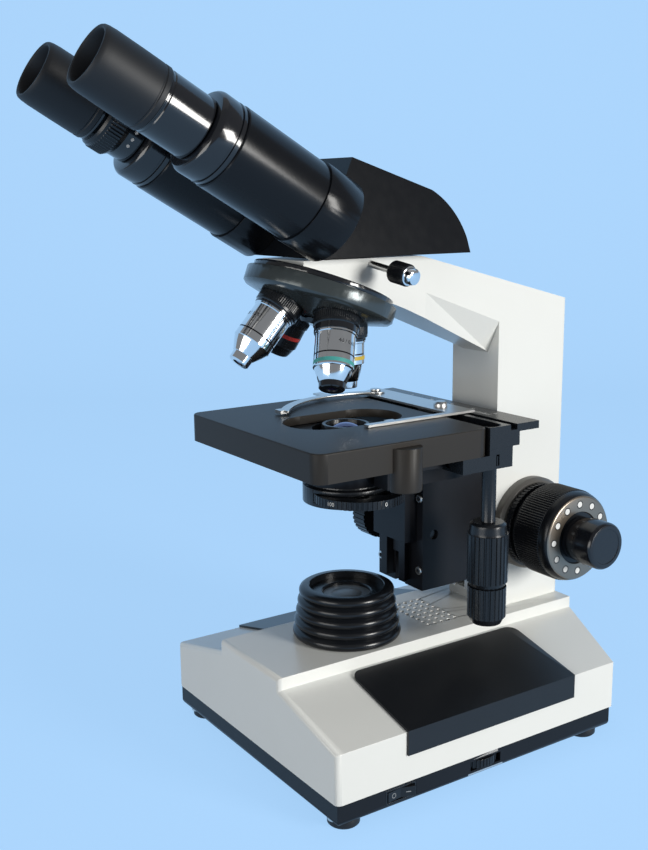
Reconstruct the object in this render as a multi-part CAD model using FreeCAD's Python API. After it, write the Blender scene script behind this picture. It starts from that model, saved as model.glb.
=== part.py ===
import FreeCAD, Part
import math
import os
from FreeCAD import Placement, Rotation, Vector

# Phase contrast microscope: binocular head, quadruple nosepiece, mechanical stage, lit base.
# Millimetres. +Z is up, the user sits on the -Y side and +X is the user's right hand.
# The origin is where the optical axis meets the bench.

os.makedirs("parts", exist_ok=True)

# Fits and gaps
RUN = 0.05            # radial clearance of a running fit
AIR = 0.3             # gap between pieces that pass each other
SHEET = 2.5           # wall of the moulded covers

# Base: shell, pan, feet, side panels
FOOT_H = 5.5
FOOT_R = 9.0
FOOT_X = 78.0
FOOT_FRONT_Y = -57.0
FOOT_REAR_Y = 124.0
PAN_H = 13.0
PAN_INSET = 1.0
BASE_HALF_W = 91.0
BASE_FRONT = -70.0
BASE_SIDE_END = 137.0
BASE_REAR = 157.0
SHOULDER_H = 29.4
SLOPE_TOP_H = 43.4
DECK_H = 50.6
DECK_HALF_W = 34.0
SHELL_WALL = 3.0
PANEL_FRONT = -24.0
PANEL_REAR = 102.0
PANEL_TOP_X = 37.0
PANEL_FLANGE_H = 16.0
PANEL_T = 1.4
PANEL_CORNER_R = 7.0
SWITCH_Y = -27.0
SWITCH_LENGTH = 21.0
SWITCH_H = 8.4
SWITCH_DEPTH = 9.0
SWITCH_PIN_R = 0.8
SWITCH_PIN_IN = 3.0
WHEEL_Y = 34.0
WHEEL_R = 15.0
WHEEL_T = 5.0
WHEEL_PROUD = 1.6
VENT_R = 1.2
VENT_PITCH = 5.4
INLET_X = -13.0
INLET_W = 27.0
INLET_H = 20.0
INLET_RISE = 20.0
INLET_DEPTH = 24.0
INLET_FLANGE = 3.0
INLET_FLANGE_T = 1.5
FUSE_X = 19.0
FUSE_R = 6.5

# Lamp
LAMP_TOP_R = 29.0
LAMP_BOTTOM_R = 33.0
LAMP_H = 31.4
LAMP_RIDGES = 5
LAMP_GROOVE = 1.6
FILTER_SEAT_R = 22.6
FILTER_SEAT_DEPTH = 4.0
FIELD_LENS_R = 17.0
FIELD_LENS_OPENING_R = 14.5

# Column and arm
COLUMN_HALF_W = 21.5
COLUMN_FRONT = 99.8
ARM_DRAFT = 9.5       # how much narrower each side of the arm is where its underside meets the column
ARM_DRAFT_START_Y = 42.0
ARM_CREASE_RISE = 19.5
ARM_CREASE_FRONT_RISE = 15.0
ARM_TOP = 297.0
ARM_TOP_BREAK_Y = 38.4
COLUMN_BACK_DROP = 31.0
ARM_NOSE_Y = -42.0
ARM_KNEE_Y = 96.0
ARM_KNEE_DROP = 60.0
COLUMN_WALL = 8.0
BEAM_R = 11.0

# Nosepiece and objectives: every objective axis crosses the turret axis at one apex
APEX_RISE = 24.5      # arm's top to the apex
TURRET_TILT = 21.0
PLATE_DEPTH = 41.0    # apex to the arm's underside, along the turret axis
PLATE_T = 3.2
PLATE_R = 41.0
TURRET_R = 44.0
TURRET_EDGE_T = 8.0
SHOULDER_DEPTH = 62.0  # apex to the seat of each objective
THREAD_R = 10.1
OBJECTIVE_STEPS = 4
COLLAR_R = 13.0
COLLAR_LENGTH = 8.5
AXLE_R = 6.0
AXLE_SOCKET = 4.0

# Focus drive
FOCUS_Y = 128.4
FOCUS_Z = 123.1
FINE_TRAVEL = 1.0
COARSE_UP = 7.5
COARSE_DOWN = 14.0
BRACKET_FRONT = 41.0
BRACKET_HALF_W = 22.0
BRACKET_BOTTOM = 93.5
BRACKET_TOP = 173.5
BRACKET_WALL = 6.0
STAGE_ARM_INNER = 28.0
STAGE_ARM_OUTER = 41.0
STAGE_ARM_REAR = 62.0
RACK_WEB_INSET = 38.0
GUIDE_Y = 90.0
GUIDE_FRONT_HALF = 17.0
GUIDE_ROOT_HALF = 12.5
GEAR_MODULE = 1.0
PINION_TEETH = 12
PINION_HALF_LENGTH = 3.5
SLEEVE_R = 4.6
FINE_SHAFT_R = 2.4
BOSS_R = 30.0
BOSS_END_X = 28.5
BOSS_SPIGOT_R = 12.0
TENSION_R = 27.0
TENSION_END_X = 33.6
COARSE_KNOB_R = 29.0
COARSE_KNOB_END_X = 66.5
FINE_KNOB_R = 14.6
FINE_KNOB_END_X = 89.0

# Stage
STAGE_HALF_W = 70.0
STAGE_FRONT = -66.7
STAGE_REAR = 50.3
STAGE_TOP = 202.7
STAGE_BOTTOM = 186.4
STAGE_TOP_T = 5.0
STAGE_CORNER_R = 7.0
APERTURE_HALF_W = 21.5
APERTURE_FRONT = -40.0
APERTURE_REAR = 36.0
STAGE_FORWARD = 21.0
STAGE_BACKWARD = 11.0
FIXED_FRONT = -38.5
FIXED_REAR = 22.5
RAIL_GROOVE_DEPTH = 2.6
RAIL_T = 5.0
CONDENSER_HOLE_R = 20.0
DRIVE_INSET = 7.0      # stage's right edge to the axis of its two knobs
DRIVE_BEHIND = 6.2     # stage's rear edge to the same axis
DRIVE_BLOCK_W = 18.0
DRIVE_BLOCK_UNDER = 19.7
DRIVE_BLOCK_BEHIND = 17.5
DRIVE_BLOCK_H = 8.4
DRIVE_STEP_H = 3.6
Y_TUBE_R = 4.2
X_SHAFT_R = 2.2
Y_KNOB_R = 12.0
X_KNOB_R = 11.4
KNOB_SPLIT_Z = 106.5
Y_KNOB_TOP = 145.5
X_KNOB_BOTTOM = 84.0
PULLEY_R = 5.0
STAGE_RACK_T = 6.0
XRAIL_LIP = 4.5
XRAIL_STEP_BEHIND = 22.7
XRAIL_BEHIND = 37.7
IDLER_INSET = 8.0
WAY_BEHIND = 15.7
WAY_W = 5.0
BELT_T = 0.8
BELT_W = 5.0
HOLDER_T = 1.4
FINGER_T = 1.2
FINGER_AIR = 0.15
FINGER_X = -52.0
FINGER_Y = 60.0
FINGER_PIN_R = 1.5
FINGER_EYE_R = 6.0
BAR_BEHIND = 3.7
ARM_X = 26.5
ARM_W = 4.5
ARM_FRONT = -6.0
NUT_R = 4.2
NUT_H = 3.2
NUT_X = 10.0

# Condenser
CARRIER_R = 26.0
CARRIER_BOTTOM = 166.5
CARRIER_TOP = 184.0
DRUM_BOTTOM = 154.0
DRUM_TOP = 164.5
CONDENSER_BARREL_R = 17.0
CONDENSER_TOP = 200.0
DRUM_BORE_R = 10.0
PHASE_DISC_R = 27.0
PHASE_DISC_X = 13.0
PHASE_DISC_T = 5.0
PHASE_SEATS = 5
ANNULUS_R = 6.5
CONDENSER_DOWN = 20.0
RACK_SPARE = 14.0
COND_SHAFT_Y = 50.0
COND_SHAFT_Z = 128.0
COND_SHAFT_R = 3.0
COND_KNOB_R = 15.0
COND_RAIL_Y = 35.0
COND_RAIL_INNER = 6.0
COND_RAIL_ROOT = 9.0
COND_RAIL_FACE = 12.0
COND_SLIDE_HALF = 16.0

# Binocular head
HEAD_SEAT_GAP = 1.5
HEAD_TILT = 30.0
FOLD_RISE = 16.9      # head's underside to where the beam turns towards the user
HEAD_HALF_W = 36.0
HEAD_TOP_HALF_W = 25.0
HEAD_FRONT_S = 28.8
HEAD_WALL = 3.0
HEAD_FLOOR = 4.0
HEAD_CREST_H = 25.0      # crest above the beam, square to the tubes
HEAD_BACK_Y = 63.0
HEAD_BACK_ARC = ((40.0, 35.4), (53.5, 24.0), (61.6, 8.2))
PRISM_HALF = 13.0
DOVETAIL_R = 17.5
DOVETAIL_DEPTH = 8.0
HINGE_RADIUS = 37.5
HINGE_R = 9.0
TUBE_HALF_SPAN = 34.8
HUB_R = 20.0
HUB_T = 11.0
BOX_R = 23.5
TUBE_R = 22.5
TUBE_START_S = 51.9
TUBE_END_S = 108.8
COLLAR_END_S = 119.8
EYE_BORE_R = 11.6     # standard 23.2 mm eyepiece sleeve
EYE_BODY_R = 16.5
EYE_BODY_END_S = 145.8
EYECUP_BASE_R = 16.9
EYECUP_END_R = 16.2
EYECUP_END_S = 182.3
DIOPTRE_R = 18.4
DIOPTRE_END_S = 142.8
DIOPTRE_TRAVEL = 1.6

# Sizes that follow
SHELL_Z = FOOT_H + PAN_H
DECK_Z = SHELL_Z + DECK_H
CONTROL_Z = FOOT_H + PAN_H / 2.0 + 0.5
APEX_Z = ARM_TOP + APEX_RISE
ARM_KNEE_Z = ARM_TOP - ARM_KNEE_DROP
COLUMN_BACK_TOP = ARM_TOP - COLUMN_BACK_DROP
HEAD_BOTTOM = ARM_TOP + HEAD_SEAT_GAP
FOLD_Z = HEAD_BOTTOM + FOLD_RISE
DRIVE_X = STAGE_HALF_W - DRIVE_INSET
DRIVE_Y = STAGE_REAR + DRIVE_BEHIND
PINION_R = GEAR_MODULE * PINION_TEETH / 2.0
TOOTH_PITCH = math.pi * GEAR_MODULE
ADDENDUM = 0.8 * GEAR_MODULE
DEDENDUM = 1.2 * GEAR_MODULE
TOOTH_T = 0.3 * TOOTH_PITCH
UP = Vector(0, 0, 1)
SIDEWAYS = Vector(1, 0, 0)
TURRET_FRAME = Placement(Vector(0, 0, APEX_Z), Rotation(SIDEWAYS, -TURRET_TILT))
HEAD_FRAME = Placement(Vector(0, 0, FOLD_Z), Rotation(SIDEWAYS, 90.0 - HEAD_TILT))
TUBE_DROP = math.degrees(math.acos(TUBE_HALF_SPAN / HINGE_RADIUS))


def box(x0, x1, y0, y1, z0, z1):
    return Part.makeBox(x1 - x0, y1 - y0, z1 - z0, Vector(x0, y0, z0))


def rod(radius, z0, z1, x=0.0, y=0.0):
    return Part.makeCylinder(radius, z1 - z0, Vector(x, y, z0), UP)


def ring(outer, inner, z0, z1, x=0.0, y=0.0):
    return rod(outer, z0, z1, x, y).cut(rod(inner, z0 - 1, z1 + 1, x, y))


def rod_x(radius, x0, x1, y, z):
    return Part.makeCylinder(radius, x1 - x0, Vector(x0, y, z), SIDEWAYS)


def rod_y(radius, y0, y1, x, z):
    return Part.makeCylinder(radius, y1 - y0, Vector(x, y0, z), Vector(0, 1, 0))


def face_of(points):
    return Part.Face(Part.makePolygon(points + points[:1]))


def slab_x(points_yz, x0, x1):
    return face_of([Vector(x0, y, z) for y, z in points_yz]).extrude(Vector(x1 - x0, 0, 0))


def slab_y(points_xz, y0, y1):
    return face_of([Vector(x, y0, z) for x, z in points_xz]).extrude(Vector(0, y1 - y0, 0))


def slab_z(points_xy, z0, z1):
    return face_of([Vector(x, y, z0) for x, y in points_xy]).extrude(Vector(0, 0, z1 - z0))


def lathe(profile, x=0.0, y=0.0):
    """Turn a closed (radius, height) profile about an upright axis."""
    turned = face_of([Vector(r, 0, z) for r, z in profile]).revolve(Vector(0, 0, 0), UP, 360)
    turned.translate(Vector(x, y, 0))
    return turned


def join(*shapes):
    return shapes[0].multiFuse(list(shapes[1:])).removeSplitter()


def soften(shape, radius, wanted):
    """Round the edges whose middle point passes the test."""
    edges = [edge for edge in shape.Edges if wanted(edge.valueAt(
        (edge.FirstParameter + edge.LastParameter) / 2.0))]
    return shape.makeFillet(radius, edges) if edges else shape


def rounded_box(x0, x1, y0, y1, z0, z1, radius):
    """A block with its four upright edges rounded."""
    middle = (z0 + z1) / 2.0
    return soften(box(x0, x1, y0, y1, z0, z1), radius, lambda p: abs(p.z - middle) < 0.01)


def fluted(radius, depth, count, z0, z1, x=0.0, y=0.0):
    """A grip with straight flutes, as a star with flat valleys."""
    points = []
    for n in range(count):
        for share, r in ((0.0, radius), (0.5, radius), (0.62, radius - depth), (0.88, radius - depth)):
            turn = 2 * math.pi * (n + share) / count
            points.append((x + r * math.cos(turn), y + r * math.sin(turn)))
    return slab_z(points, z0, z1)


def mirrored(shape):
    return shape.mirror(Vector(0, 0, 0), SIDEWAYS)


def placed(shape, placement):
    moved = shape.copy()
    moved.Placement = placement.multiply(moved.Placement)
    return moved


def along_x(shape, y, z):
    """Lay a shape made about the upright axis along +X, through (y, z)."""
    return placed(shape, Placement(Vector(0, y, z), Rotation(Vector(0, 1, 0), 90)))


def pinion(z0, z1, first_tooth=0.0):
    """A gear about the upright axis whose first tooth points at the given angle."""
    points = []
    half_root = 0.62 * TOOTH_T / (PINION_R - DEDENDUM)
    half_tip = 0.34 * TOOTH_T / (PINION_R + ADDENDUM)
    for n in range(PINION_TEETH):
        middle = math.radians(first_tooth) + 2 * math.pi * n / PINION_TEETH
        for turn, r in ((-half_root, PINION_R - DEDENDUM), (-half_tip, PINION_R + ADDENDUM),
                        (half_tip, PINION_R + ADDENDUM), (half_root, PINION_R - DEDENDUM)):
            points.append((r * math.cos(middle + turn), r * math.sin(middle + turn)))
    return slab_z(points, z0, z1)


def rack_profile(start, end, back):
    """Teeth along the first axis, pointing to +second; zero is the pitch line, a gap sits at 0."""
    points = [(start, -back), (start, -DEDENDUM)]
    first = math.ceil((start + TOOTH_T) / TOOTH_PITCH - 0.5)
    last = math.floor((end - TOOTH_T) / TOOTH_PITCH - 0.5)
    for n in range(first, last + 1):
        middle = (n + 0.5) * TOOTH_PITCH
        points += [(middle - 0.62 * TOOTH_T, -DEDENDUM), (middle - 0.34 * TOOTH_T, ADDENDUM),
                   (middle + 0.34 * TOOTH_T, ADDENDUM), (middle + 0.62 * TOOTH_T, -DEDENDUM)]
    return points + [(end, -DEDENDUM), (end, -back)]


def save(name, shape):
    shape.exportStep("parts/%s.step" % name)
    solids = shape.Solids
    print("%-22s %2d solid(s)  %9.0f mm3  valid %s" % (
        name, len(solids), sum(s.Volume for s in solids), shape.isValid()))


def group(shapes):
    return Part.makeCompound(shapes)


# Base

def shell_section(inset):
    """Half outline of the base shell seen from the front, mirrored to a full one."""
    right = [(BASE_HALF_W - inset, SHELL_Z), (BASE_HALF_W - inset, SHELL_Z + SHOULDER_H - inset),
             (DECK_HALF_W - inset, SHELL_Z + SLOPE_TOP_H - inset), (DECK_HALF_W - inset, DECK_Z - inset)]
    return right + [(-x, z) for x, z in reversed(right)]


def plan(inset):
    """Outline of the base seen from above."""
    w, d = BASE_HALF_W - inset, DECK_HALF_W - inset * 0.2
    right = [(w, BASE_FRONT + inset), (w, BASE_SIDE_END - inset), (d, BASE_REAR - inset)]
    return right + [(-x, y) for x, y in reversed(right)]


def slope_z(x):
    """Height of the shell's sloping side at x."""
    rise = (SLOPE_TOP_H - SHOULDER_H) / (BASE_HALF_W - DECK_HALF_W)
    return SHELL_Z + SHOULDER_H + (BASE_HALF_W - x) * rise


def make_base_shell():
    outer = slab_y(shell_section(0), BASE_FRONT, BASE_REAR)
    outer = outer.common(slab_z(plan(0), SHELL_Z, DECK_Z))
    outer = soften(outer, 3.0, lambda p: abs(p.y - BASE_FRONT) < 0.01 and p.z > SHELL_Z + 1)
    inner = slab_y(shell_section(SHELL_WALL), BASE_FRONT + SHELL_WALL, BASE_REAR - SHELL_WALL)
    inner = inner.common(slab_z(plan(SHELL_WALL), SHELL_Z - 1, DECK_Z))
    shell = outer.cut(inner)
    tools = [rod(LAMP_BOTTOM_R - SHELL_WALL, DECK_Z - 10, DECK_Z + 1)]
    for row in range(5):
        for column in range(8):
            x = (column - 3.5) * VENT_PITCH
            y = LAMP_BOTTOM_R + 16.0 + row * VENT_PITCH
            tools.append(rod(VENT_R, DECK_Z - 8, DECK_Z + 1, x, y))
    middle = SHELL_Z + INLET_RISE
    tools.append(box(INLET_X - INLET_W / 2, INLET_X + INLET_W / 2, BASE_REAR - 6, BASE_REAR + 1,
                     middle - INLET_H / 2, middle + INLET_H / 2))
    tools.append(rod_y(FUSE_R, BASE_REAR - 6, BASE_REAR + 1, FUSE_X, middle))
    return shell.cut(Part.makeCompound(tools))


def make_base_pan():
    outer = slab_z(plan(PAN_INSET), FOOT_H, SHELL_Z)
    outer = soften(outer, 3.5, lambda p: abs(p.z - FOOT_H) < 0.01)
    pan = outer.cut(slab_z(plan(PAN_INSET + SHEET), FOOT_H + SHEET, SHELL_Z + 1))
    middle = CONTROL_Z
    side = BASE_HALF_W - PAN_INSET
    switch = box(side - SHEET - 1, side + 1, SWITCH_Y - SWITCH_LENGTH / 2, SWITCH_Y + SWITCH_LENGTH / 2,
                 middle - SWITCH_H / 2, middle + SWITCH_H / 2)
    reach = math.sqrt(WHEEL_R ** 2 - (WHEEL_R - WHEEL_PROUD - SHEET) ** 2)
    wheel = box(side - SHEET - 1, side + 1, WHEEL_Y - reach - 1, WHEEL_Y + reach + 1,
                middle - WHEEL_T / 2 - AIR, middle + WHEEL_T / 2 + AIR)
    return pan.cut(switch).cut(wheel)


def make_feet():
    profile = [(0, 0), (FOOT_R - 1.0, 0), (FOOT_R, 1.0), (FOOT_R, FOOT_H), (0, FOOT_H)]
    return group([lathe(profile, side * FOOT_X, y) for side in (-1, 1)
                  for y in (FOOT_FRONT_Y, FOOT_REAR_Y)])


def make_side_panels():
    shoulder = (BASE_HALF_W, SHELL_Z + SHOULDER_H)
    low = SHELL_Z + PANEL_FLANGE_H
    top = slope_z(PANEL_TOP_X)
    section = [(PANEL_TOP_X, top), shoulder, (BASE_HALF_W, low), (BASE_HALF_W + PANEL_T, low),
               (BASE_HALF_W + PANEL_T, shoulder[1] + PANEL_T * 0.8), (PANEL_TOP_X + 0.3, top + PANEL_T)]
    panel = slab_y(section, PANEL_FRONT, PANEL_REAR)
    panel = soften(panel, PANEL_CORNER_R, lambda p: p.x < PANEL_TOP_X + 0.4
                   and (abs(p.y - PANEL_FRONT) < 0.01 or abs(p.y - PANEL_REAR) < 0.01))
    return group([panel, mirrored(panel)])


def make_switch_and_rocker():
    middle = CONTROL_Z
    side = BASE_HALF_W - PAN_INSET
    half_l, half_h = SWITCH_LENGTH / 2, SWITCH_H / 2
    frame = box(side - SWITCH_DEPTH, side, SWITCH_Y - half_l, SWITCH_Y + half_l,
                middle - half_h, middle + half_h)
    frame = frame.cut(box(side - SWITCH_DEPTH + 2, side + 1, SWITCH_Y - half_l + 1.2,
                          SWITCH_Y + half_l - 1.2, middle - half_h + 1.0, middle + half_h - 1.0))
    length = half_l - 1.2 - AIR
    pivot_x = side - SWITCH_PIN_IN
    frame = join(frame, rod(SWITCH_PIN_R, middle - half_h + 0.5, middle + half_h - 0.5, pivot_x, SWITCH_Y))
    rocker = slab_z([(pivot_x - 2, SWITCH_Y - length * 0.5), (side + 0.2, SWITCH_Y - length),
                     (side - 0.6, SWITCH_Y), (side + 2.2, SWITCH_Y + length * 0.94),
                     (side - 1.2, SWITCH_Y + length * 0.96), (pivot_x - 2, SWITCH_Y + length * 0.5)],
                    middle - half_h + 1.0 + AIR, middle + half_h - 1.0 - AIR)
    return frame, rocker.cut(rod(SWITCH_PIN_R + RUN, 0, SHELL_Z, pivot_x, SWITCH_Y))


def make_brightness_wheel():
    middle = CONTROL_Z
    x = BASE_HALF_W - PAN_INSET + WHEEL_PROUD - WHEEL_R
    wheel = fluted(WHEEL_R, 0.5, 40, middle - WHEEL_T / 2, middle + WHEEL_T / 2, x, WHEEL_Y)
    return wheel.cut(rod(3.0 + RUN, 0, 30, x, WHEEL_Y)), x


def make_control_board(wheel_x):
    """Board with the dimmer's post, standing on the pan's floor."""
    floor = FOOT_H + SHEET
    low = CONTROL_Z - WHEEL_T / 2 - AIR
    board = box(wheel_x - 42, wheel_x + WHEEL_R - 4.6, WHEEL_Y - 28, WHEEL_Y + 34, floor, floor + 1.6)
    post = rod(3.0, floor, low + WHEEL_T + 3, wheel_x, WHEEL_Y)
    shoulder = rod(5.0, floor, low, wheel_x, WHEEL_Y)
    relay = box(wheel_x - 38, wheel_x - 20, WHEEL_Y - 22, WHEEL_Y + 8, floor, floor + 15)
    cooler = box(wheel_x - 36, wheel_x - 32, WHEEL_Y + 14, WHEEL_Y + 30, floor, floor + 22)
    return join(board, post, shoulder, relay, cooler)


def make_transformer():
    floor = FOOT_H + SHEET
    core = box(-72, -22, 46, 100, floor, floor + 30)
    coil = rounded_box(-65, -29, 40, 106, floor + 2, floor + 38, 5)
    return join(core, coil)


def make_power_inlet():
    middle = SHELL_Z + INLET_RISE
    gap = AIR
    body = box(INLET_X - INLET_W / 2 + gap, INLET_X + INLET_W / 2 - gap,
               BASE_REAR - INLET_DEPTH, BASE_REAR + INLET_FLANGE_T,
               middle - INLET_H / 2 + gap, middle + INLET_H / 2 - gap)
    flange = box(INLET_X - INLET_W / 2 - INLET_FLANGE, INLET_X + INLET_W / 2 + INLET_FLANGE,
                 BASE_REAR, BASE_REAR + INLET_FLANGE_T,
                 middle - INLET_H / 2 - INLET_FLANGE, middle + INLET_H / 2 + INLET_FLANGE)
    socket = box(INLET_X - INLET_W / 2 + 2.4, INLET_X + INLET_W / 2 - 2.4, BASE_REAR - 15, BASE_REAR + 2,
                 middle - INLET_H / 2 + 2.4, middle + INLET_H / 2 - 2.4)
    pins = [box(INLET_X + dx - 1, INLET_X + dx + 1, BASE_REAR - 16, BASE_REAR - 6,
                middle + dz - 2, middle + dz + 2) for dx, dz in ((-7, -1.5), (0, 3.0), (7, -1.5))]
    inlet = join(body, flange).cut(socket)
    fuse = join(rod_y(FUSE_R - RUN, BASE_REAR - 22, BASE_REAR + 1, FUSE_X, middle),
                rod_y(FUSE_R + 2.5, BASE_REAR, BASE_REAR + 5, FUSE_X, middle))
    return group([join(inlet, *pins), fuse])


# Lamp

def make_lamp_housing():
    top = DECK_Z + LAMP_H
    wall_in = LAMP_BOTTOM_R - SHELL_WALL - 2.0
    outer = []
    step = LAMP_H / LAMP_RIDGES
    for n in range(LAMP_RIDGES):
        low = DECK_Z + n * step
        r = LAMP_BOTTOM_R + (LAMP_TOP_R - LAMP_BOTTOM_R) * n / (LAMP_RIDGES - 1)
        outer += [(r - LAMP_GROOVE, low), (r, low + 0.25 * step), (r, low + 0.65 * step),
                  (r - LAMP_GROOVE, low + 0.9 * step)]
    lens_top = top - FILTER_SEAT_DEPTH
    profile = outer + [(LAMP_TOP_R - LAMP_GROOVE, top), (FILTER_SEAT_R, top), (FILTER_SEAT_R, lens_top),
                       (FIELD_LENS_OPENING_R, lens_top), (FIELD_LENS_OPENING_R, lens_top - 2.0),
                       (FIELD_LENS_R + RUN, lens_top - 2.0), (FIELD_LENS_R + RUN, lens_top - 7.0),
                       (wall_in, lens_top - 8.0), (wall_in, DECK_Z - 8.0),
                       (wall_in + 2.0 - AIR, DECK_Z - 8.0), (wall_in + 2.0 - AIR, DECK_Z)]
    return lathe(profile)


def make_field_lens():
    top = DECK_Z + LAMP_H - FILTER_SEAT_DEPTH
    plate = rod(FIELD_LENS_R, top - 6.5, top - 2.0)
    sphere_r = 26.0
    dome = Part.makeSphere(sphere_r, Vector(0, 0, top - 0.3 - sphere_r))
    return join(plate, dome.common(rod(FIELD_LENS_OPENING_R - AIR, top - 4.0, top + 2)))


def make_bulb_and_socket():
    floor = FOOT_H + SHEET
    bracket = join(box(-14, 14, -10, 10, floor, floor + 3), box(-8, 8, -6, 6, floor, 52),
                   rod(9.0, 48, 56))
    glass = join(rod(5.0, 56, 70), Part.makeSphere(5.0, Vector(0, 0, 70)))
    return bracket, glass


# Column and arm

def turret_plane_z(y, depth):
    """Height, at y, of the plane square to the turret axis at a depth below the apex."""
    tilt = math.radians(TURRET_TILT)
    y0, z0 = -depth * math.sin(tilt), APEX_Z - depth * math.cos(tilt)
    return z0 - (y - y0) * math.tan(tilt)


def make_column_arm():
    joint_y = 28.0
    slope = (ARM_TOP - COLUMN_BACK_TOP) / (BASE_REAR - ARM_TOP_BREAK_Y)
    root_y = COLUMN_FRONT + 12
    root_z = ARM_TOP - (root_y - ARM_TOP_BREAK_Y) * slope
    front_top = ARM_TOP - (COLUMN_FRONT - ARM_TOP_BREAK_Y) * slope
    arm = slab_x([(ARM_NOSE_Y, ARM_TOP), (ARM_NOSE_Y, turret_plane_z(ARM_NOSE_Y, PLATE_DEPTH)),
                  (joint_y, turret_plane_z(joint_y, PLATE_DEPTH)), (ARM_KNEE_Y, ARM_KNEE_Z),
                  (root_y, ARM_KNEE_Z - 9), (root_y, root_z), (ARM_TOP_BREAK_Y, ARM_TOP)],
                 -COLUMN_HALF_W, COLUMN_HALF_W)
    draft = arm_draft(joint_y)
    arm = arm.cut(draft).cut(mirrored(draft))
    column = slab_x([(COLUMN_FRONT, DECK_Z), (BASE_REAR, DECK_Z), (BASE_REAR, COLUMN_BACK_TOP),
                     (COLUMN_FRONT, front_top)], -COLUMN_HALF_W, COLUMN_HALF_W)
    body = join(arm, column)
    body = soften(body, 2.0, lambda p: abs(abs(p.x) - COLUMN_HALF_W) < 0.01 and p.y > BASE_REAR - 0.01)
    seat = rod(DOVETAIL_R + RUN, HEAD_BOTTOM - DOVETAIL_DEPTH - AIR, ARM_TOP + 1)
    beam = rod(BEAM_R, 200, ARM_TOP)
    axle = placed(rod(AXLE_R, -PLATE_DEPTH - 1, -PLATE_DEPTH + AXLE_SOCKET + AIR), TURRET_FRAME)
    cavity = box(-COLUMN_HALF_W + 6, COLUMN_HALF_W - 6, COLUMN_FRONT + COLUMN_WALL,
                 BASE_REAR - COLUMN_WALL, BRACKET_BOTTOM - COARSE_DOWN - 6, BRACKET_TOP + COARSE_UP + 4)
    slot = box(-GUIDE_ROOT_HALF - AIR, GUIDE_ROOT_HALF + AIR, COLUMN_FRONT - 1,
               COLUMN_FRONT + COLUMN_WALL + 1, BRACKET_BOTTOM - COARSE_DOWN - 4,
               BRACKET_TOP + COARSE_UP + 2)
    shafts = rod_x(SLEEVE_R + FINE_TRAVEL + 2 * AIR, -40, 40, FOCUS_Y, FOCUS_Z)
    screw = placed(rod(2.0 + RUN, -1, 60), clamp_frame())
    return body.cut(Part.makeCompound([seat, beam, axle, cavity, slot, shafts, screw]))


def arm_draft(joint_y):
    """What the arm's right side loses below its crease; it ends flush with the column's front."""
    slope = (turret_plane_z(joint_y, PLATE_DEPTH) - ARM_KNEE_Z) / (ARM_KNEE_Y - joint_y)
    low_front = ARM_KNEE_Z + (ARM_KNEE_Y - ARM_DRAFT_START_Y) * slope
    low_rear = ARM_KNEE_Z + (ARM_KNEE_Y - COLUMN_FRONT) * slope
    front = Vector(COLUMN_HALF_W, ARM_DRAFT_START_Y, low_front + ARM_CREASE_FRONT_RISE)
    rear = Vector(COLUMN_HALF_W, COLUMN_FRONT, low_rear + ARM_CREASE_RISE)
    inner = Vector(COLUMN_HALF_W - ARM_DRAFT, COLUMN_FRONT, low_rear)
    foot = Vector(COLUMN_HALF_W, ARM_DRAFT_START_Y, low_front)
    corner = Vector(COLUMN_HALF_W, COLUMN_FRONT, low_rear)
    under = [Vector(p.x, p.y, p.z - 20) for p in (foot, inner, corner)]
    sides = [[front, rear, inner], [front, inner, under[1], under[0]], [rear, corner, under[2], under[1], inner],
             [front, under[0], under[2], rear], under]
    faces = [Part.Face(Part.makePolygon(side + side[:1])) for side in sides]
    return Part.makeSolid(Part.makeShell(faces))


def clamp_frame():
    """The head's clamp screw: +Z of this frame runs outwards from the dovetail."""
    out = Vector(33.5, 5.5, -6.2)
    return Placement(Vector(DOVETAIL_R + 0.6, 2.2, HEAD_BOTTOM - 4.2), Rotation(UP, out))


def make_clamp_screw():
    grip = fluted(6.2, 0.5, 20, 21.0, 33.0)
    cap = rod(5.0, 33.0, 40.0)
    return placed(join(rod(2.0, 0.6, 22.0), grip, cap), clamp_frame())


def make_focus_bosses():
    profile = [(SLEEVE_R + FINE_TRAVEL + 2 * AIR, COLUMN_HALF_W), (BOSS_R, COLUMN_HALF_W),
               (BOSS_R, BOSS_END_X - 2.0), (BOSS_R - 2.0, BOSS_END_X), (BOSS_SPIGOT_R, BOSS_END_X),
               (BOSS_SPIGOT_R, TENSION_END_X - AIR),
               (SLEEVE_R + FINE_TRAVEL + 2 * AIR, TENSION_END_X - AIR)]
    boss = along_x(lathe(profile), FOCUS_Y, FOCUS_Z)
    boss = boss.common(box(0, 100, COLUMN_FRONT, BASE_REAR, 0, 300))
    return group([boss, mirrored(boss)])


# Focus drive

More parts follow.
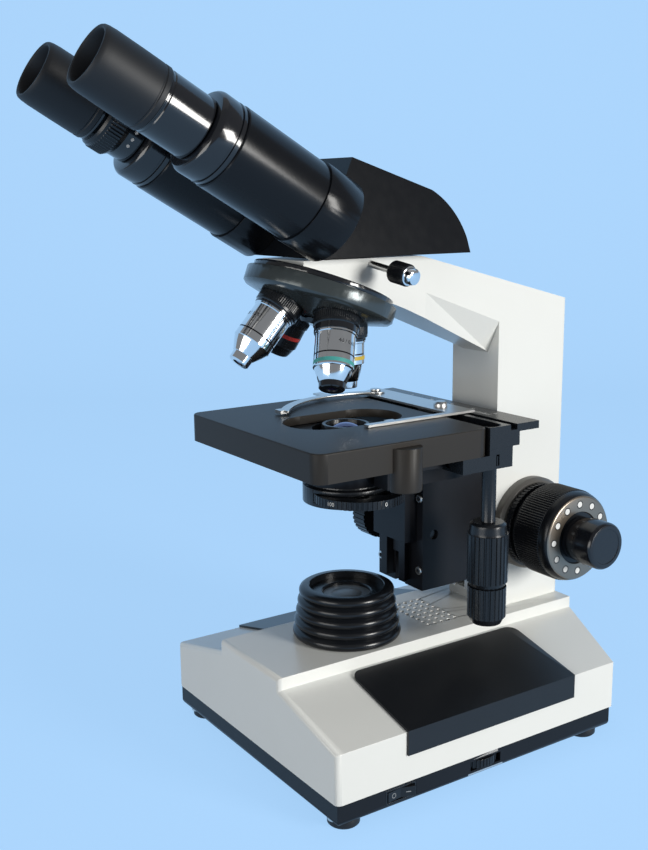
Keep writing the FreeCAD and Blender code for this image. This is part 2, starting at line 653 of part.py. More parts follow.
def make_focus_guide():
    """Dovetail that carries the stage bracket, with the block that holds the pinion shaft."""
    low, high = BRACKET_BOTTOM - COARSE_DOWN, BRACKET_TOP + COARSE_UP
    rail = slab_z([(-GUIDE_FRONT_HALF, GUIDE_Y), (GUIDE_FRONT_HALF, GUIDE_Y),
                   (GUIDE_ROOT_HALF, COLUMN_FRONT - AIR), (GUIDE_ROOT_HALF, COLUMN_FRONT + COLUMN_WALL + 2),
                   (-GUIDE_ROOT_HALF, COLUMN_FRONT + COLUMN_WALL + 2),
                   (-GUIDE_ROOT_HALF, COLUMN_FRONT - AIR)],
                  low, high)
    block = box(-COLUMN_HALF_W + 6 + AIR, COLUMN_HALF_W - 6 - AIR, COLUMN_FRONT + COLUMN_WALL + AIR,
                FOCUS_Y + 12, FOCUS_Z - 30, FOCUS_Z + 30)
    slot = box(-PINION_HALF_LENGTH - 1.2, PINION_HALF_LENGTH + 1.2, GUIDE_Y - 1, FOCUS_Y,
               low - 1, high + 1)
    pocket = rod_x(PINION_R + ADDENDUM + 1, -PINION_HALF_LENGTH - 1.2, PINION_HALF_LENGTH + 1.2,
                   FOCUS_Y, FOCUS_Z)
    bore = rod_x(SLEEVE_R + RUN, -30, 30, FOCUS_Y, FOCUS_Z)
    return join(rail, block).cut(Part.makeCompound([slot, pocket, bore]))


def make_focus_rack():
    """Toothed bar on the bracket's back web; it reaches the pinion through the guide's slot."""
    teeth = rack_profile(-COARSE_UP - 16, COARSE_DOWN + 16, 7.0)
    teeth = [(FOCUS_Y - PINION_R + depth, FOCUS_Z + along) for along, depth in teeth]
    bar = slab_x(teeth, -PINION_HALF_LENGTH, PINION_HALF_LENGTH)
    web = box(-PINION_HALF_LENGTH, PINION_HALF_LENGTH, BRACKET_FRONT + RACK_WEB_INSET,
              FOCUS_Y - PINION_R - 6.5, FOCUS_Z - COARSE_UP - 10, FOCUS_Z + COARSE_DOWN + 10)
    return join(bar, web)


def make_coarse_sleeve():
    sleeve = along_x(ring(SLEEVE_R, FINE_SHAFT_R + RUN, -COARSE_KNOB_END_X + 3, COARSE_KNOB_END_X - 3),
                     FOCUS_Y, FOCUS_Z)
    gear = along_x(pinion(-PINION_HALF_LENGTH, PINION_HALF_LENGTH, -90.0), FOCUS_Y, FOCUS_Z)
    bore = rod_x(FINE_SHAFT_R + RUN, -60, 60, FOCUS_Y, FOCUS_Z)
    return join(sleeve, gear).cut(bore)


def make_coarse_knobs():
    start = TENSION_END_X + AIR
    grip = fluted(COARSE_KNOB_R, 0.8, 48, start + 6, COARSE_KNOB_END_X - 4)
    hub = lathe([(SLEEVE_R, start), (COARSE_KNOB_R - 5, start), (COARSE_KNOB_R - 0.8, start + 6),
                 (COARSE_KNOB_R - 0.8, COARSE_KNOB_END_X - 4), (COARSE_KNOB_R - 2, COARSE_KNOB_END_X - 1.5),
                 (COARSE_KNOB_R - 2.4, COARSE_KNOB_END_X), (FINE_KNOB_R + 1.4, COARSE_KNOB_END_X),
                 (FINE_KNOB_R + 0.8, COARSE_KNOB_END_X - 1.2), (SLEEVE_R, COARSE_KNOB_END_X - 1.2)])
    knob = along_x(join(grip, hub).cut(rod(SLEEVE_R, 0, 100)), FOCUS_Y, FOCUS_Z)
    return group([knob, mirrored(knob)])


def make_fine_drive():
    """Both fine knobs on the shaft that runs through the coarse sleeve."""
    start = COARSE_KNOB_END_X - 1.2 + AIR
    profile = [(FINE_SHAFT_R, start), (FINE_KNOB_R - 1.2, start), (FINE_KNOB_R - 0.8, start + 8),
               (FINE_KNOB_R, start + 9), (FINE_KNOB_R, FINE_KNOB_END_X - 1.2),
               (FINE_KNOB_R - 1.2, FINE_KNOB_END_X), (0, FINE_KNOB_END_X), (0, FINE_KNOB_END_X - 4),
               (FINE_SHAFT_R, FINE_KNOB_END_X - 4)]
    knob = along_x(lathe(profile), FOCUS_Y, FOCUS_Z)
    shaft = rod_x(FINE_SHAFT_R, -FINE_KNOB_END_X + 4, FINE_KNOB_END_X - 4, FOCUS_Y, FOCUS_Z)
    return join(knob, mirrored(knob), shaft)


def make_tension_ring():
    grip = fluted(TENSION_R, 0.6, 60, BOSS_END_X + AIR, TENSION_END_X - AIR)
    return along_x(grip.cut(rod(BOSS_SPIGOT_R + RUN, 0, 100)), FOCUS_Y, FOCUS_Z)


# Stage

def make_stage_bracket():
    """Casting that slides on the guide and holds the stage on two arms."""
    block = box(-BRACKET_HALF_W, BRACKET_HALF_W, BRACKET_FRONT, COLUMN_FRONT - 2 * AIR,
                BRACKET_BOTTOM, BRACKET_TOP)
    hollow = box(-BRACKET_HALF_W + BRACKET_WALL, BRACKET_HALF_W - BRACKET_WALL,
                 BRACKET_FRONT + BRACKET_WALL, GUIDE_Y - BRACKET_WALL,
                 BRACKET_BOTTOM - 1, BRACKET_TOP - BRACKET_WALL)
    groove = slab_z([(-GUIDE_FRONT_HALF - AIR, GUIDE_Y - AIR), (GUIDE_FRONT_HALF + AIR, GUIDE_Y - AIR),
                     (GUIDE_ROOT_HALF + AIR, COLUMN_FRONT), (-GUIDE_ROOT_HALF - AIR, COLUMN_FRONT)],
                    BRACKET_BOTTOM - 1, BRACKET_TOP + 1)
    rack_seat = box(-PINION_HALF_LENGTH, PINION_HALF_LENGTH, BRACKET_FRONT + RACK_WEB_INSET, COLUMN_FRONT,
                    FOCUS_Z - COARSE_UP - 10, FOCUS_Z + COARSE_DOWN + 10)
    floor = STAGE_BOTTOM - AIR
    arms = []
    low = BRACKET_TOP - BRACKET_WALL
    for side in (-1, 1):
        x0, x1 = sorted((side * STAGE_ARM_INNER, side * STAGE_ARM_OUTER))
        arms.append(box(x0, x1, 0, STAGE_ARM_REAR, low, floor))
    bridge = box(-STAGE_ARM_OUTER, STAGE_ARM_OUTER, BRACKET_FRONT, STAGE_ARM_REAR, low, floor)
    body = join(block, bridge, *arms).cut(Part.makeCompound([hollow, groove, rack_seat]))
    shaft = rod_x(COND_SHAFT_R + RUN, -60, 60, COND_SHAFT_Y, COND_SHAFT_Z)
    window = box(-PINION_HALF_LENGTH - 1.2, PINION_HALF_LENGTH + 1.2, BRACKET_FRONT - 1,
                 BRACKET_FRONT + BRACKET_WALL + 1, BRACKET_BOTTOM - 1,
                 COND_SHAFT_Z + CONDENSER_DOWN + RACK_SPARE + 1)
    return join(body.cut(shaft).cut(window), *condenser_guide())


def condenser_guide():
    """Small dovetail on the bracket's front, either side of the condenser's rack."""
    low, high = BRACKET_BOTTOM + 4, BRACKET_TOP - 2
    strips = []
    for side in (-1, 1):
        points = [(COND_RAIL_INNER, BRACKET_FRONT), (COND_RAIL_ROOT, BRACKET_FRONT),
                  (COND_RAIL_FACE, COND_RAIL_Y), (COND_RAIL_INNER, COND_RAIL_Y)]
        strips.append(slab_z([(side * x, y) for x, y in points], low, high))
    return strips


def make_stage_fixed_plate():
    """Plate under the moving stage; it carries the ways and the rack for the fore-and-aft drive."""
    half = STAGE_HALF_W - SHEET - RAIL_T
    front, rear = FIXED_FRONT, FIXED_REAR
    low, high = STAGE_BOTTOM - AIR, STAGE_TOP - STAGE_TOP_T - AIR
    plate = box(-half, half, front, rear, low, high)
    middle = (low + high) / 2
    grooves = [box(side * half - RAIL_GROOVE_DEPTH, side * half + RAIL_GROOVE_DEPTH, front - 1, rear + 1,
                   middle - 2.5 - AIR, middle + 2.5 + AIR) for side in (-1, 1)]
    plate = plate.cut(rod(CONDENSER_HOLE_R, low - 1, high + 1)).cut(Part.makeCompound(grooves))
    pitch_x = DRIVE_X - PINION_R
    teeth = rack_profile(-STAGE_FORWARD - 6, STAGE_BACKWARD + 6, 5.0)
    teeth = [(pitch_x + depth, DRIVE_Y + along) for along, depth in teeth]
    rack = slab_z(teeth, low - STAGE_RACK_T, low)
    bar = box(pitch_x - 5.0, pitch_x - DEDENDUM, rear - 24, DRIVE_Y, low - STAGE_RACK_T, low)
    return join(plate, rack, bar)


def make_stage_plate():
    top_under = STAGE_TOP - STAGE_TOP_T
    body = rounded_box(-STAGE_HALF_W, STAGE_HALF_W, STAGE_FRONT, STAGE_REAR,
                       STAGE_BOTTOM, STAGE_TOP, STAGE_CORNER_R)
    body = soften(body, 0.8, lambda p: abs(p.z - STAGE_TOP) < 0.01)
    inside = box(-STAGE_HALF_W + SHEET, STAGE_HALF_W - SHEET, STAGE_FRONT + SHEET, STAGE_REAR - SHEET,
                 STAGE_BOTTOM - 1, top_under)
    rails = []
    middle = (STAGE_BOTTOM - AIR + top_under - AIR) / 2
    half = STAGE_HALF_W - SHEET - RAIL_T
    for side in (-1, 1):
        x0, x1 = sorted((side * (half - RAIL_GROOVE_DEPTH + AIR), side * (STAGE_HALF_W - 1)))
        rails.append(box(x0, x1, STAGE_FRONT + 8, STAGE_REAR - 8, middle - 2.5, middle + 2.5))
        x0, x1 = sorted((side * (half + AIR), side * (STAGE_HALF_W - 1)))
        rails.append(box(x0, x1, STAGE_FRONT + 8, STAGE_REAR - 8, middle - 2.5, top_under + 1))
    w = APERTURE_HALF_W
    aperture = join(box(-w, w, APERTURE_FRONT + w, APERTURE_REAR - w, top_under - 1, STAGE_TOP + 1),
                    rod(w, top_under - 1, STAGE_TOP + 1, 0, APERTURE_FRONT + w),
                    rod(w, top_under - 1, STAGE_TOP + 1, 0, APERTURE_REAR - w))
    post = rod(9.4, STAGE_BOTTOM - 11, STAGE_TOP - 3, STAGE_HALF_W - 1.5, -9.0)
    post = soften(post, 0.8, lambda p: abs(p.z - STAGE_BOTTOM + 11) < 0.01)
    post = post.cut(box(0, STAGE_HALF_W - SHEET, -30, 30, STAGE_BOTTOM - 20, STAGE_TOP))
    return join(body.cut(inside).cut(aperture), post, *rails)


def make_drive_bracket():
    """Block that hangs the two stage knobs from the stage's right rear corner."""
    low = STAGE_BOTTOM - DRIVE_BLOCK_H
    left, front = STAGE_HALF_W - DRIVE_BLOCK_W, STAGE_REAR - DRIVE_BLOCK_UNDER
    rear = STAGE_REAR + DRIVE_BLOCK_BEHIND
    block = box(left, STAGE_HALF_W, front, rear, low, STAGE_BOTTOM)
    raised = box(left, STAGE_HALF_W, STAGE_REAR, rear, STAGE_BOTTOM, STAGE_BOTTOM + DRIVE_STEP_H)
    channel_top = STAGE_BOTTOM + 0.01
    pitch_x = DRIVE_X - PINION_R
    gear_low = STAGE_BOTTOM - STAGE_RACK_T - 2 * AIR
    channel = box(left - 1, pitch_x + ADDENDUM + AIR, front - 1, rear + 1, gear_low, channel_top)
    pocket = rod(PINION_R + ADDENDUM + AIR, gear_low, STAGE_BOTTOM, DRIVE_X, DRIVE_Y)
    relief = box(left - 1, STAGE_HALF_W - SHEET, front - 1, STAGE_REAR - SHEET,
                 STAGE_BOTTOM - 2 * AIR, STAGE_BOTTOM + 1)
    bore = rod(Y_TUBE_R + RUN, low - 1, STAGE_BOTTOM, DRIVE_X, DRIVE_Y)
    upper_bore = rod(X_SHAFT_R + RUN, STAGE_BOTTOM - 1, STAGE_TOP, DRIVE_X, DRIVE_Y)
    return join(block, raised).cut(Part.makeCompound([channel, relief, pocket, bore, upper_bore]))


def make_x_rail():
    """Rail along the stage's rear edge, with a trough for the belt that moves the slide holder."""
    low = STAGE_BOTTOM + DRIVE_STEP_H
    top = STAGE_TOP - 0.2
    step, rear = STAGE_REAR + XRAIL_STEP_BEHIND, STAGE_REAR + XRAIL_BEHIND
    section = [(STAGE_REAR, low), (step, low), (step, top - XRAIL_LIP), (rear, top - XRAIL_LIP),
               (rear, top), (STAGE_REAR, top)]
    rail = slab_x(section, -STAGE_HALF_W, STAGE_HALF_W)
    half = PULLEY_R + BELT_T + AIR
    idler_x = IDLER_INSET - STAGE_HALF_W
    trough = join(box(idler_x, DRIVE_X, DRIVE_Y - half, DRIVE_Y + half, low + 2, top + 1),
                  rod(half, low + 2, top + 1, DRIVE_X, DRIVE_Y),
                  rod(half, low + 2, top + 1, idler_x, DRIVE_Y))
    way_y = STAGE_REAR + WAY_BEHIND
    way = box(-STAGE_HALF_W - 1, STAGE_HALF_W + 1, way_y, way_y + WAY_W, top - 3.2, top + 1)
    bore = rod(X_SHAFT_R + RUN, low - 1, low + 3, DRIVE_X, DRIVE_Y)
    post = rod(PULLEY_R, low + 2, top - 1, idler_x, DRIVE_Y)
    return join(rail.cut(Part.makeCompound([trough, way, bore])), post)


def make_x_belt():
    low = STAGE_BOTTOM + DRIVE_STEP_H + 3.0
    idler_x = IDLER_INSET - STAGE_HALF_W
    inner = PULLEY_R + RUN
    outer = inner + BELT_T

    def loop(r):
        return join(box(idler_x, DRIVE_X, DRIVE_Y - r, DRIVE_Y + r, low, low + BELT_W),
                    rod(r, low, low + BELT_W, DRIVE_X, DRIVE_Y),
                    rod(r, low, low + BELT_W, idler_x, DRIVE_Y))
    return loop(outer).cut(loop(inner))


def make_y_knob():
    low = STAGE_BOTTOM - 6.6 + RUN
    tube = rod(Y_TUBE_R, KNOB_SPLIT_Z + 8, low + 5.6, DRIVE_X, DRIVE_Y)
    gear = pinion(low, low + 5.6, 180.0)
    gear.translate(Vector(DRIVE_X, DRIVE_Y, 0))
    collar = lathe([(0, Y_KNOB_TOP - 7), (Y_KNOB_R - 0.8, Y_KNOB_TOP - 7),
                    (Y_KNOB_R - 1.4, Y_KNOB_TOP - 1.2),
                    (Y_KNOB_R - 3, Y_KNOB_TOP), (0, Y_KNOB_TOP)], DRIVE_X, DRIVE_Y)
    grip = fluted(Y_KNOB_R, 0.7, 24, KNOB_SPLIT_Z + 3, Y_KNOB_TOP - 7, DRIVE_X, DRIVE_Y)
    skirt = lathe([(0, KNOB_SPLIT_Z + AIR), (Y_KNOB_R - 1.6, KNOB_SPLIT_Z + AIR),
                   (Y_KNOB_R - 0.7, KNOB_SPLIT_Z + 3), (0, KNOB_SPLIT_Z + 3)], DRIVE_X, DRIVE_Y)
    bore = rod(X_SHAFT_R + RUN, 0, 300, DRIVE_X, DRIVE_Y)
    return join(tube, gear, collar, grip, skirt).cut(bore)


def make_x_knob():
    shaft = rod(X_SHAFT_R, X_KNOB_BOTTOM + 2, STAGE_BOTTOM + 12, DRIVE_X, DRIVE_Y)
    pulley = rod(PULLEY_R, STAGE_BOTTOM + 6.1, STAGE_BOTTOM + 12.1, DRIVE_X, DRIVE_Y)
    grip = fluted(X_KNOB_R, 0.6, 24, X_KNOB_BOTTOM + 4, KNOB_SPLIT_Z, DRIVE_X, DRIVE_Y)
    end = lathe([(0, X_KNOB_BOTTOM), (X_KNOB_R - 2.6, X_KNOB_BOTTOM), (X_KNOB_R - 0.6, X_KNOB_BOTTOM + 4),
                 (0, X_KNOB_BOTTOM + 4)], DRIVE_X, DRIVE_Y)
    return join(shaft, pulley, grip, end)


def make_slide_holder():
    """Bar, fixed arm and the tongues that run in the rail; a milled nut locks it."""
    low = STAGE_TOP + AIR
    top = low + HOLDER_T
    front, rear = STAGE_REAR + BAR_BEHIND, STAGE_REAR + XRAIL_STEP_BEHIND
    bar = box(FINGER_X - 10, ARM_X + ARM_W, front, rear, low, top)
    arm = box(ARM_X, ARM_X + ARM_W, ARM_FRONT, front, low, top)
    step = box(ARM_X - 2.5, ARM_X, 10, 16, low, top)
    way_y = STAGE_REAR + WAY_BEHIND
    tongue = box(-38, 18, way_y + AIR, way_y + WAY_W - AIR, STAGE_TOP - 3.1, low)
    clip_y = DRIVE_Y + PULLEY_R - RUN
    clip = box(-7, 7, clip_y - 1.6, clip_y - AIR, STAGE_BOTTOM + 7, low)
    nut = lathe([(0, top), (NUT_R, top), (NUT_R, top + NUT_H - 1.2), (NUT_R - 1.0, top + NUT_H),
                 (0, top + NUT_H)], NUT_X, (front + rear) / 2)
    seat = top + FINGER_AIR + FINGER_T + FINGER_AIR
    pin = rod(FINGER_PIN_R, low, seat + 1.2, FINGER_X, FINGER_Y)
    head = rod(FINGER_PIN_R + 1.9, seat, seat + 1.2, FINGER_X, FINGER_Y)
    return join(bar, arm, step, tongue, clip, nut, pin, head)


def make_spring_finger():
    """Curved finger that presses the slide against the fixed arm."""
    low = STAGE_TOP + AIR + HOLDER_T + FINGER_AIR
    high = low + FINGER_T
    bow_x, bow_y, bow_r = FINGER_X + 61.4, FINGER_Y - 29.7, 69.5
    eye = rod(FINGER_EYE_R, low, high, FINGER_X, FINGER_Y)
    bow = rod(bow_r, low, high, bow_x, bow_y).cut(rod(bow_r - 5, low - 1, high + 1, bow_x + 0.8, bow_y))
    blade = bow.common(box(FINGER_X - 11, FINGER_X + 26, FINGER_Y - 84, FINGER_Y, low - 1, high + 1))
    tip = box(FINGER_X + 16, FINGER_X + 23, FINGER_Y - 87, FINGER_Y - 82, STAGE_TOP + 1.0, high)
    tab = box(FINGER_X - 17, FINGER_X - 7, FINGER_Y - 38, FINGER_Y - 32, low, high)
    return join(eye, blade, tip, tab).cut(rod(FINGER_PIN_R + RUN, low - 1, high + 1, FINGER_X, FINGER_Y))


# Condenser

def make_condenser_carrier():
    """Ring that holds the condenser, with the slide that rises on the small dovetail."""
    holder = ring(CARRIER_R, CONDENSER_BARREL_R + RUN, CARRIER_BOTTOM, CARRIER_TOP - 0.5)
    floor_z = COND_SHAFT_Z - 4
    half = COND_SLIDE_HALF
    slide = box(-half, half, LAMP_TOP_R + 3, BRACKET_FRONT - AIR, floor_z, CARRIER_BOTTOM + 6)
    holder_space = rod(CONDENSER_BARREL_R + RUN, CARRIER_BOTTOM - 1, CARRIER_TOP)
    disc_space = rod(PHASE_DISC_R + 1, floor_z - 1, CARRIER_BOTTOM - AIR, PHASE_DISC_X, 0)
    drum_space = rod(CARRIER_R + AIR, floor_z - 1, CARRIER_BOTTOM - AIR)
    slide = slide.cut(disc_space).cut(drum_space)
    neck = box(-half, half, CARRIER_R - 6, BRACKET_FRONT - AIR, CARRIER_BOTTOM, CARRIER_BOTTOM + 6)
    grooves = []
    for side in (-1, 1):
        points = [(COND_RAIL_INNER - AIR, BRACKET_FRONT + 1), (COND_RAIL_ROOT + AIR, BRACKET_FRONT + 1),
                  (COND_RAIL_FACE + 2 * AIR, COND_RAIL_Y - AIR), (COND_RAIL_INNER - AIR, COND_RAIL_Y - AIR)]
        grooves.append(slab_z([(side * x, y) for x, y in points], 0, 300))
    body = join(holder, neck, slide).cut(holder_space)
    teeth = rack_profile(-RACK_SPARE, CONDENSER_DOWN + RACK_SPARE, 6.0)
    pitch_y = COND_SHAFT_Y - PINION_R
    teeth = [(pitch_y + depth, COND_SHAFT_Z + along) for along, depth in teeth]
    rack = slab_x(teeth, -PINION_HALF_LENGTH, PINION_HALF_LENGTH)
    return join(body.cut(Part.makeCompound(grooves)), rack)


def make_condenser_barrel():
    """Lens barrel, drum and the mount of the annulus disc in one turned piece."""
    z0, z1 = DRUM_BOTTOM, DRUM_TOP
    barrel = lathe([(DRUM_BORE_R, z1 - 1.5), (CONDENSER_BARREL_R, z1 - 1.5),
                    (CONDENSER_BARREL_R, CONDENSER_TOP - 6),
                    (15.5, CONDENSER_TOP - 6), (14.0, CONDENSER_TOP), (12.0, CONDENSER_TOP), (12.0, z1 + 2),
                    (DRUM_BORE_R, z1 + 2)])
    drum = ring(CARRIER_R, DRUM_BORE_R, z0, z1)
    middle = (z0 + z1) / 2
    slot = rod(PHASE_DISC_R + AIR, middle - PHASE_DISC_T / 2 - AIR, middle + PHASE_DISC_T / 2 + AIR,
               PHASE_DISC_X, 0)
    flange = ring(CARRIER_R - 4, DRUM_BORE_R + 2, z1 - 1, CARRIER_BOTTOM)
    pin = rod(2.0, z0, z1, PHASE_DISC_X, 0)
    return join(drum.cut(slot), barrel, flange, pin)


def make_condenser_lens():
    top = CONDENSER_TOP
    sphere_r = 14.0
    lens = Part.makeSphere(sphere_r, Vector(0, 0, top + 0.4 - sphere_r))
    upper = lens.common(rod(12.0, top - 8, top + 1))
    lower = rod(12.0, DRUM_TOP + 4, DRUM_TOP + 12)
    return group([upper, lower])


def phase_seats():
    """Centres of the openings in the annulus disc; the first is on the optical axis."""
    places = []
    for n in range(PHASE_SEATS):
        turn = math.pi + 2 * math.pi * n / PHASE_SEATS
        places.append((PHASE_DISC_X + PHASE_DISC_X * math.cos(turn), PHASE_DISC_X * math.sin(turn)))
    return places


def make_phase_disc():
    middle = (DRUM_BOTTOM + DRUM_TOP) / 2
    z0, z1 = middle - PHASE_DISC_T / 2, middle + PHASE_DISC_T / 2
    disc = fluted(PHASE_DISC_R, 0.5, 60, z0, z1, PHASE_DISC_X, 0)
    holes = [rod(2.0 + RUN, z0 - 1, z1 + 1, PHASE_DISC_X, 0)]
    holes += [rod(ANNULUS_R, z0 - 1, z1 + 1, x, y) for x, y in phase_seats()]
    return join(disc.cut(Part.makeCompound(holes)), *phase_annuli())


def phase_annuli():
    """The four ring stops; the first opening of the disc stays free for bright field."""
    z0 = (DRUM_BOTTOM + DRUM_TOP) / 2 - 0.5
    stops = []
    for n, (x, y) in enumerate(phase_seats()[1:]):
        gap_r = 3.0 + 0.5 * n
        rim = ring(ANNULUS_R, gap_r + 0.7, z0, z0 + 1, x, y)
        bar = box(x - ANNULUS_R + 0.5, x + ANNULUS_R - 0.5, y - 0.3, y + 0.3, z0, z0 + 1)
        stops.append(join(rim, rod(gap_r, z0, z0 + 1, x, y), bar))
    return stops


def make_iris_lever():
    """Ring in the drum's mouth with the lever that sets the diaphragm."""
    z0 = DRUM_BOTTOM + 0.2
    leaf = ring(DRUM_BORE_R - RUN, 5.0, z0, z0 + 1.6)
    arm = box(-34, -6, -2, 2, DRUM_BOTTOM - 2.2, DRUM_BOTTOM - AIR)
    riser = box(-DRUM_BORE_R + 0.6, -6, -2, 2, DRUM_BOTTOM - 2.2, z0 + 1.6)
    return join(leaf, arm, riser)


def make_condenser_knob():
    shaft = rod_x(COND_SHAFT_R, -42, 20, COND_SHAFT_Y, COND_SHAFT_Z)
    gear = along_x(pinion(-PINION_HALF_LENGTH, PINION_HALF_LENGTH, -90.0), COND_SHAFT_Y, COND_SHAFT_Z)
    knob = fluted(COND_KNOB_R, 0.6, 30, -43, -31)
    return join(shaft, gear, along_x(knob, COND_SHAFT_Y, COND_SHAFT_Z))


# Nosepiece

def make_nosepiece_plate():
    """Plate screwed under the arm, with the axle that carries the turret."""
    end = -SHOULDER_DEPTH
    plate = rod(PLATE_R, -PLATE_DEPTH - PLATE_T, -PLATE_DEPTH)
    shank = rod(AXLE_R, end - 1.2, -PLATE_DEPTH + AXLE_SOCKET)
    head = lathe([(0, end - 4), (7, end - 4), (9, end - 1.2), (0, end - 1.2)])
    return placed(join(plate, shank, head), TURRET_FRAME).cut(rod(BEAM_R, 200, 320))


def objective_turns():
    """One rotation about the turret axis for each objective seat."""
    axis = TURRET_FRAME.Rotation.multVec(UP)
    apex = Vector(0, 0, APEX_Z)
    return [Placement(Vector(0, 0, 0), Rotation(axis, -360.0 / OBJECTIVE_STEPS * n), apex)
            for n in range(OBJECTIVE_STEPS)]


def make_turret():
    top = -PLATE_DEPTH - PLATE_T - AIR
    edge = top - TURRET_EDGE_T
    end = -SHOULDER_DEPTH
    dome = lathe([(AXLE_R + RUN, top), (TURRET_R, top), (TURRET_R, edge), (TURRET_R - 1.5, edge - 1.5),
                  (TURRET_R - 12, edge - 4.5), (20, end + 1.5), (12, end - 0.6), (AXLE_R + RUN, end - 0.8)])
    body = placed(dome, TURRET_FRAME)
    seats, bores = [], []
    seat = APEX_Z - SHOULDER_DEPTH
    for turn in objective_turns():
        seats.append(placed(rod(COLLAR_R + 1.0, seat, seat + 12), turn))
        bores.append(placed(rod(THREAD_R, seat - 1, seat + 5), turn))
        bores.append(placed(rod(THREAD_R - 1.6, seat - 1, APEX_Z - PLATE_DEPTH + 4), turn))
        bores.append(placed(rod(COLLAR_R + AIR, seat - 12, seat), turn))
    limit = placed(rod(TURRET_R, end - 9, top), TURRET_FRAME)
    axle = placed(rod(AXLE_R + RUN, end - 9, top + 1), TURRET_FRAME)
    return join(body, *seats).common(limit).cut(Part.makeCompound(bores + [axle]))


OBJECTIVES = [
    # name, overall length, barrel radius, barrel length, nose radius
    ("objective_10x", 38.0, 11.8, 24.0, 6.2),
    ("objective_40x", 44.4, 11.4, 33.0, 6.6),
    ("objective_100x", 44.8, 11.4, 33.0, 5.4),
    ("objective_4x", 28.0, 12.2, 22.0, 9.5),
]


def make_objectives():
    shapes = []
    seat = APEX_Z - SHOULDER_DEPTH
    for (name, length, barrel_r, barrel_len, nose_r), turn in zip(OBJECTIVES, objective_turns()):
        end = seat - length
        profile = [(6.5, seat + 4.5), (THREAD_R, seat + 4.5), (THREAD_R, seat), (COLLAR_R, seat),
                   (COLLAR_R, seat - COLLAR_LENGTH), (barrel_r, seat - COLLAR_LENGTH - 0.5),
                   (barrel_r, seat - barrel_len + 1), (barrel_r - 1, seat - barrel_len),
                   (nose_r + 1.2, end + 1.5), (nose_r, end), (3.0, end), (3.0, end + 6), (6.5, end + 12)]
        shapes.append((name, placed(lathe(profile), turn)))
    return shapes


# Head: its own frame has +Z towards the user along the tubes, +Y square to them, and starts
# where the beam folds

def fold_point(s, h):
    """World (y, z) of a station s along the tubes and h square to them."""
    tilt = math.radians(HEAD_TILT)
    return (-s * math.cos(tilt) + h * math.sin(tilt), FOLD_Z + s * math.sin(tilt) + h * math.cos(tilt))


def front_height(z):
    """Distance h on the head's front face at which it reaches the height z."""
    tilt = math.radians(HEAD_TILT)
    return (z - FOLD_Z - HEAD_FRONT_S * math.sin(tilt)) / math.cos(tilt)


def make_head_housing():
    low = fold_point(HEAD_FRONT_S, front_height(HEAD_BOTTOM))
    apex = fold_point(HEAD_FRONT_S, HEAD_CREST_H)
    rear_top, rear_mid, rear_low = [(y, HEAD_BOTTOM + rise) for y, rise in HEAD_BACK_ARC]
    rear_end = (HEAD_BACK_Y, HEAD_BOTTOM)

    def corner(point):
        return Vector(-HEAD_HALF_W, point[0], point[1])
    edges = [Part.LineSegment(corner(low), corner(apex)), Part.LineSegment(corner(apex), corner(rear_top)),
             Part.Arc(corner(rear_top), corner(rear_mid), corner(rear_low)),
             Part.LineSegment(corner(rear_low), corner(rear_end)),
             Part.LineSegment(corner(rear_end), corner(low))]
    side = Part.Face(Part.Wire([edge.toShape() for edge in edges]))
    body = side.extrude(Vector(2 * HEAD_HALF_W, 0, 0))
    taper = slab_y([(-HEAD_HALF_W, HEAD_BOTTOM), (HEAD_HALF_W, HEAD_BOTTOM),
                    (HEAD_TOP_HALF_W, apex[1] + 2), (-HEAD_TOP_HALF_W, apex[1] + 2)], -100, 100)
    body = body.common(taper)
    inner_low = fold_point(HEAD_FRONT_S - HEAD_WALL, front_height(HEAD_BOTTOM) + 8)
    inner_top = fold_point(HEAD_FRONT_S - HEAD_WALL, HEAD_CREST_H - 7.0)
    floor = HEAD_BOTTOM + HEAD_FLOOR
    cavity = slab_x([(inner_low[0], floor), inner_top, (rear_top[0] - 4, rear_top[1] - 5.9),
                     (rear_low[0] - 7.6, rear_low[1] - 0.7), (HEAD_BACK_Y - 7, floor)],
                    -HEAD_TOP_HALF_W + HEAD_WALL, HEAD_TOP_HALF_W - HEAD_WALL)
    beam = rod(BEAM_R, HEAD_BOTTOM - 1, floor + 1)
    pivot = placed(rod(HINGE_R, 0, 60), HEAD_FRAME)
    return join(body.cut(Part.makeCompound([cavity, beam, pivot])), head_dovetail())


def make_head_prism():
    floor = HEAD_BOTTOM + HEAD_FLOOR
    exit_face = [fold_point(PRISM_HALF, h) for h in (PRISM_HALF - 1.0, 1.0 - PRISM_HALF)]
    return slab_x([(-PRISM_HALF, floor), (PRISM_HALF, floor), (PRISM_HALF, floor + 14.0)] + exit_face,
                  -PRISM_HALF, PRISM_HALF)


def head_dovetail():
    foot = HEAD_BOTTOM - DOVETAIL_DEPTH
    profile = [(BEAM_R, foot), (DOVETAIL_R, foot), (DOVETAIL_R, foot + 1.5), (DOVETAIL_R - 1.6, foot + 2.6),
               (DOVETAIL_R - 1.6, foot + 5.6), (DOVETAIL_R, foot + 6.4), (DOVETAIL_R, HEAD_BOTTOM),
               (BEAM_R, HEAD_BOTTOM)]
    return lathe(profile)


def make_hinge_tube():
    """Hollow hinge pin of the two eyepiece arms, closed by the disc with the spacing scale."""
    tube = ring(HINGE_R, 6.5, HEAD_FRONT_S - 12, TUBE_START_S)
    cap = lathe([(0, TUBE_START_S), (13.4, TUBE_START_S), (13.4, TUBE_START_S + 2.4),
                 (12.4, TUBE_START_S + 3.4), (0, TUBE_START_S + 3.4)])
    return placed(join(tube, cap), HEAD_FRAME)


def tube_centre(side):
    """Place of an eyepiece tube in the head's frame."""
    drop = math.radians(TUBE_DROP)
    return side * HINGE_RADIUS * math.cos(drop), -HINGE_RADIUS * math.sin(drop)


